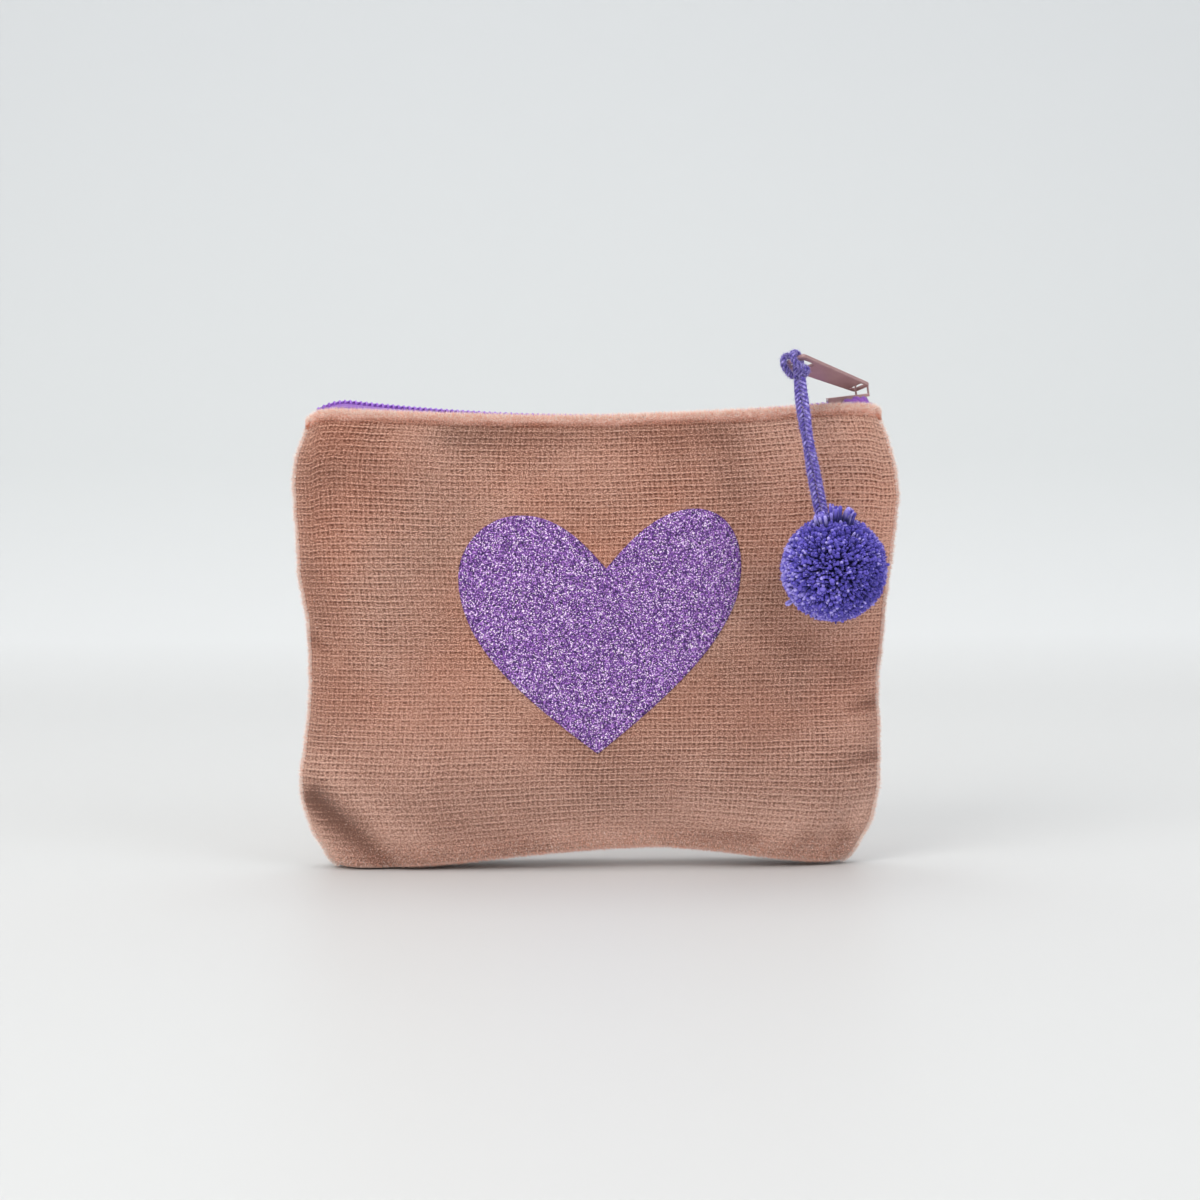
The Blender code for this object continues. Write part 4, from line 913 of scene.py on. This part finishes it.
for name, body, lines, count in (
    ("strand_fuzz", "cord", list(strand_lines.values()), 7000),
    ("hitch_fuzz", "hitch", [hitch_line], 4200),
):
    line = np.concatenate(lines)
    ahead = np.concatenate([np.gradient(part, axis=0) for part in lines])
    pick = random.integers(0, len(line), count)
    out = np.cross(ahead[pick], random.normal(0, 1, (count, 3)))
    out /= np.linalg.norm(out, axis=1)[:, None]
    roots = line[pick] + out * 0.8 + random.normal(0, 0.15, (count, 3))
    fuzz = hairs(name, roots, out, random.uniform(0.2, 1.1, count), 0.07, 0.9, random.random(count), cord_fuzz, body)
    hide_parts("cord_hitch" if body == "hitch" else "cord_strand_left")


# The pompom. Some thousands of cut ends of soft yarn tied at the middle and trimmed to a ball, a few left long near
# the cord. The tie round the middle is the same yarn as the cord.
POMPOM_CENTRE = np.array((63.684, -25.625, 84.609))
POMPOM_RADIUS = 14.3
END_COUNT = 4300
LONG_COUNT = 26
FRAY_COUNT = 6
MIDDLE_RADIUS, WELL_DEPTH = 11.6, 6.0
# Tufts left long: their way out, how narrow they are and how much longer.
tufts = (
    ((0.0, -0.28, 0.96), 0.989, 4.4), ((0.25, -0.28, 0.93), 0.987, 3.6), ((-0.25, -0.3, 0.92), 0.988, 2.6),
    ((-0.8, -0.05, -0.6), 0.9985, 2.4),
)
# One cut end: a short round of yarn with a domed tip.
bm = bmesh.new()
bmesh.ops.create_cone(bm, cap_ends=False, segments=5, radius1=0.25, radius2=0.43, depth=5.0)
bmesh.ops.translate(bm, vec=(0, 0, -2.9), verts=bm.verts)
rim = [e for e in bm.edges if all(v.co.z > -0.5 for v in e.verts)]
for scale, rise in ((0.86, 0.26), (0.5, 0.2)):
    grown = bmesh.ops.extrude_edge_only(bm, edges=rim)["geom"]
    verts = [g for g in grown if isinstance(g, bmesh.types.BMVert)]
    rim = [g for g in grown if isinstance(g, bmesh.types.BMEdge)]
    bmesh.ops.scale(bm, vec=(scale, scale, 1), verts=verts)
    bmesh.ops.translate(bm, vec=(0, 0, rise), verts=verts)
bmesh.ops.contextual_create(bm, geom=rim)
bmesh.ops.recalc_face_normals(bm, faces=bm.faces)
bm.verts.index_update()
end_verts = np.array([v.co for v in bm.verts])
end_faces = [[v.index for v in f.verts] for f in bm.faces]
bm.free()
# The ends spread evenly over the ball, none where the cord goes in.
golden = math.pi * (3 - math.sqrt(5))
index = np.arange(END_COUNT)
level = 1 - 2 * (index + 0.5) / END_COUNT
around = np.sqrt(1 - level**2)
ways = np.stack((around * np.cos(golden * index), around * np.sin(golden * index), level), axis=1)
ways += random.normal(0, 0.03, ways.shape)
ways /= np.linalg.norm(ways, axis=1)[:, None]
ways = ways[ways @ -np.array(cord_end) < 0.985]
lengths = POMPOM_RADIUS - 0.1 + random.normal(0, 0.2, len(ways))
lengths += 0.4 * np.sin(ways[:, 0] * 7 + 1) * np.sin(ways[:, 2] * 6 + 2) * np.sin(ways[:, 1] * 8)
long_ones = random.choice(len(ways), LONG_COUNT, replace=False)
lengths[long_ones] += random.uniform(0.4, 1.0, LONG_COUNT)
for tuft, narrow, longer in tufts:
    middle = np.array(tuft) / np.linalg.norm(tuft)
    close_ones = np.nonzero(ways @ middle > narrow)[0]
    lengths[close_ones] = POMPOM_RADIUS + longer * random.uniform(0.45, 1.0, len(close_ones))
    ways[close_ones] = ways[close_ones] * 0.6 + middle * 0.4
verts, faces, shade, tip = [], [], [], []
tips, tip_ways, tip_shades = [], [], []
for k, (way, length) in enumerate(zip(ways, lengths)):
    lean = way + random.normal(0, 0.1, 3)
    lean /= np.linalg.norm(lean)
    turn = np.array(Vector(lean).to_track_quat("Z", "Y").to_matrix())
    thick = random.lognormal(0.0, 0.26)
    centre = way * length + POMPOM_CENTRE
    verts.append((end_verts * (thick, thick * random.uniform(0.7, 1.0), 1.0)) @ turn.T + way * length + POMPOM_CENTRE)
    faces += [[i + k * len(end_verts) for i in face] for face in end_faces]
    # Painted light on each end's shade: paler toward the lower left, as lit from the left, and paler round the ball's
    # outline as painted rim highlight.
    left_below = max(0.0, -way[0] * 0.85 - way[2] * 0.4 - 0.1)
    own = random.normal(0.4, 0.27) + 0.4 * left_below + 0.3 * (1 - abs(way[1])) ** 1.5
    own = np.clip(own + 0.3 * ease((length - POMPOM_RADIUS - 0.8) / 2), 0, 1)
    shade += [own] * len(end_verts)
    tip += list(np.clip((end_verts[:, 2] + 5.4) / 5.4, 0, 1))
    spread = random.normal(0, 0.26, (FRAY_COUNT, 3))
    tips.append(centre + spread - lean * 0.3)
    tip_ways.append(np.repeat(lean[None], FRAY_COUNT, axis=0) + spread * 0.9)
    tip_shades.append(np.clip(own + random.normal(0, 0.25, FRAY_COUNT), 0, 1))
mesh = bpy.data.meshes.new("yarn_ball")
mesh.from_pydata(np.concatenate(verts) * MM, [], faces)
keep_values(mesh, "shade", shade)
keep_values(mesh, "tip", tip)
mesh.shade_smooth()
frayed = hair_material("yarn_fray", (0.0, "332F8A"), (0.6, "5E50B8"), (1.0, "A394E4"))
tip_ways = np.concatenate(tip_ways)
tip_ways /= np.linalg.norm(tip_ways, axis=1)[:, None]
fray = hairs("yarn_fray", np.concatenate(tips), tip_ways, random.uniform(0.3, 0.75, len(tip_ways)), 0.09, 0.6,
             np.concatenate(tip_shades), frayed, "pompom")
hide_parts("pompom_yarn")
pile, tree, surface = new_material("cut_yarn", 0.85)
fibre = noise(tree, object_place(tree), 1400.0, 3.0, 0.7)
colour = ramp_colours(tree, attribute(tree, "shade"), (0.0, "27257A"), (0.4, "3C349C"), (0.75, "695BCC"),
                      (1.0, "BEB2F6"))
colour = tint(tree, ramp(tree, fibre, 0.42, 0.8), colour, "7C6CCB")
# Painted shade deep in the ball: the inner part of each end is tinted near black.
colour = tint(tree, ramp(tree, attribute(tree, "tip"), 0.93, 0.45), colour, "1D1A5C")
fill(tree, surface, {"Base Color": colour, "Sheen Weight": 0.35, "Sheen Tint": "A79BEA"})
bump(tree, surface, fibre, 0.8, 0.12)
mesh.materials.append(pile)
pompom = show(mesh, "yarn_ball", "pompom")
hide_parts("pompom_yarn")
paint(("pompom_tie",), cord_yarn)
# The dense middle of the ball, with a well where the cord goes in.
bm = bmesh.new()
bmesh.ops.create_icosphere(bm, subdivisions=4, radius=1.0)
for vert in bm.verts:
    way = vert.co.normalized()
    well = max(0.0, way.dot(-cord_end) - 0.94) / 0.06
    vert.co = Vector(POMPOM_CENTRE) * MM + way * (MIDDLE_RADIUS - WELL_DEPTH * well) * MM
mesh = drawn_mesh(bm, "yarn_heart_of_ball")
# With no shade or tip values, the middle takes the darkest colour, the painted shade deep in the ball.
mesh.materials.append(pile)
core = show(mesh, "yarn_ball_middle", "pompom")
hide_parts("pompom_yarn")
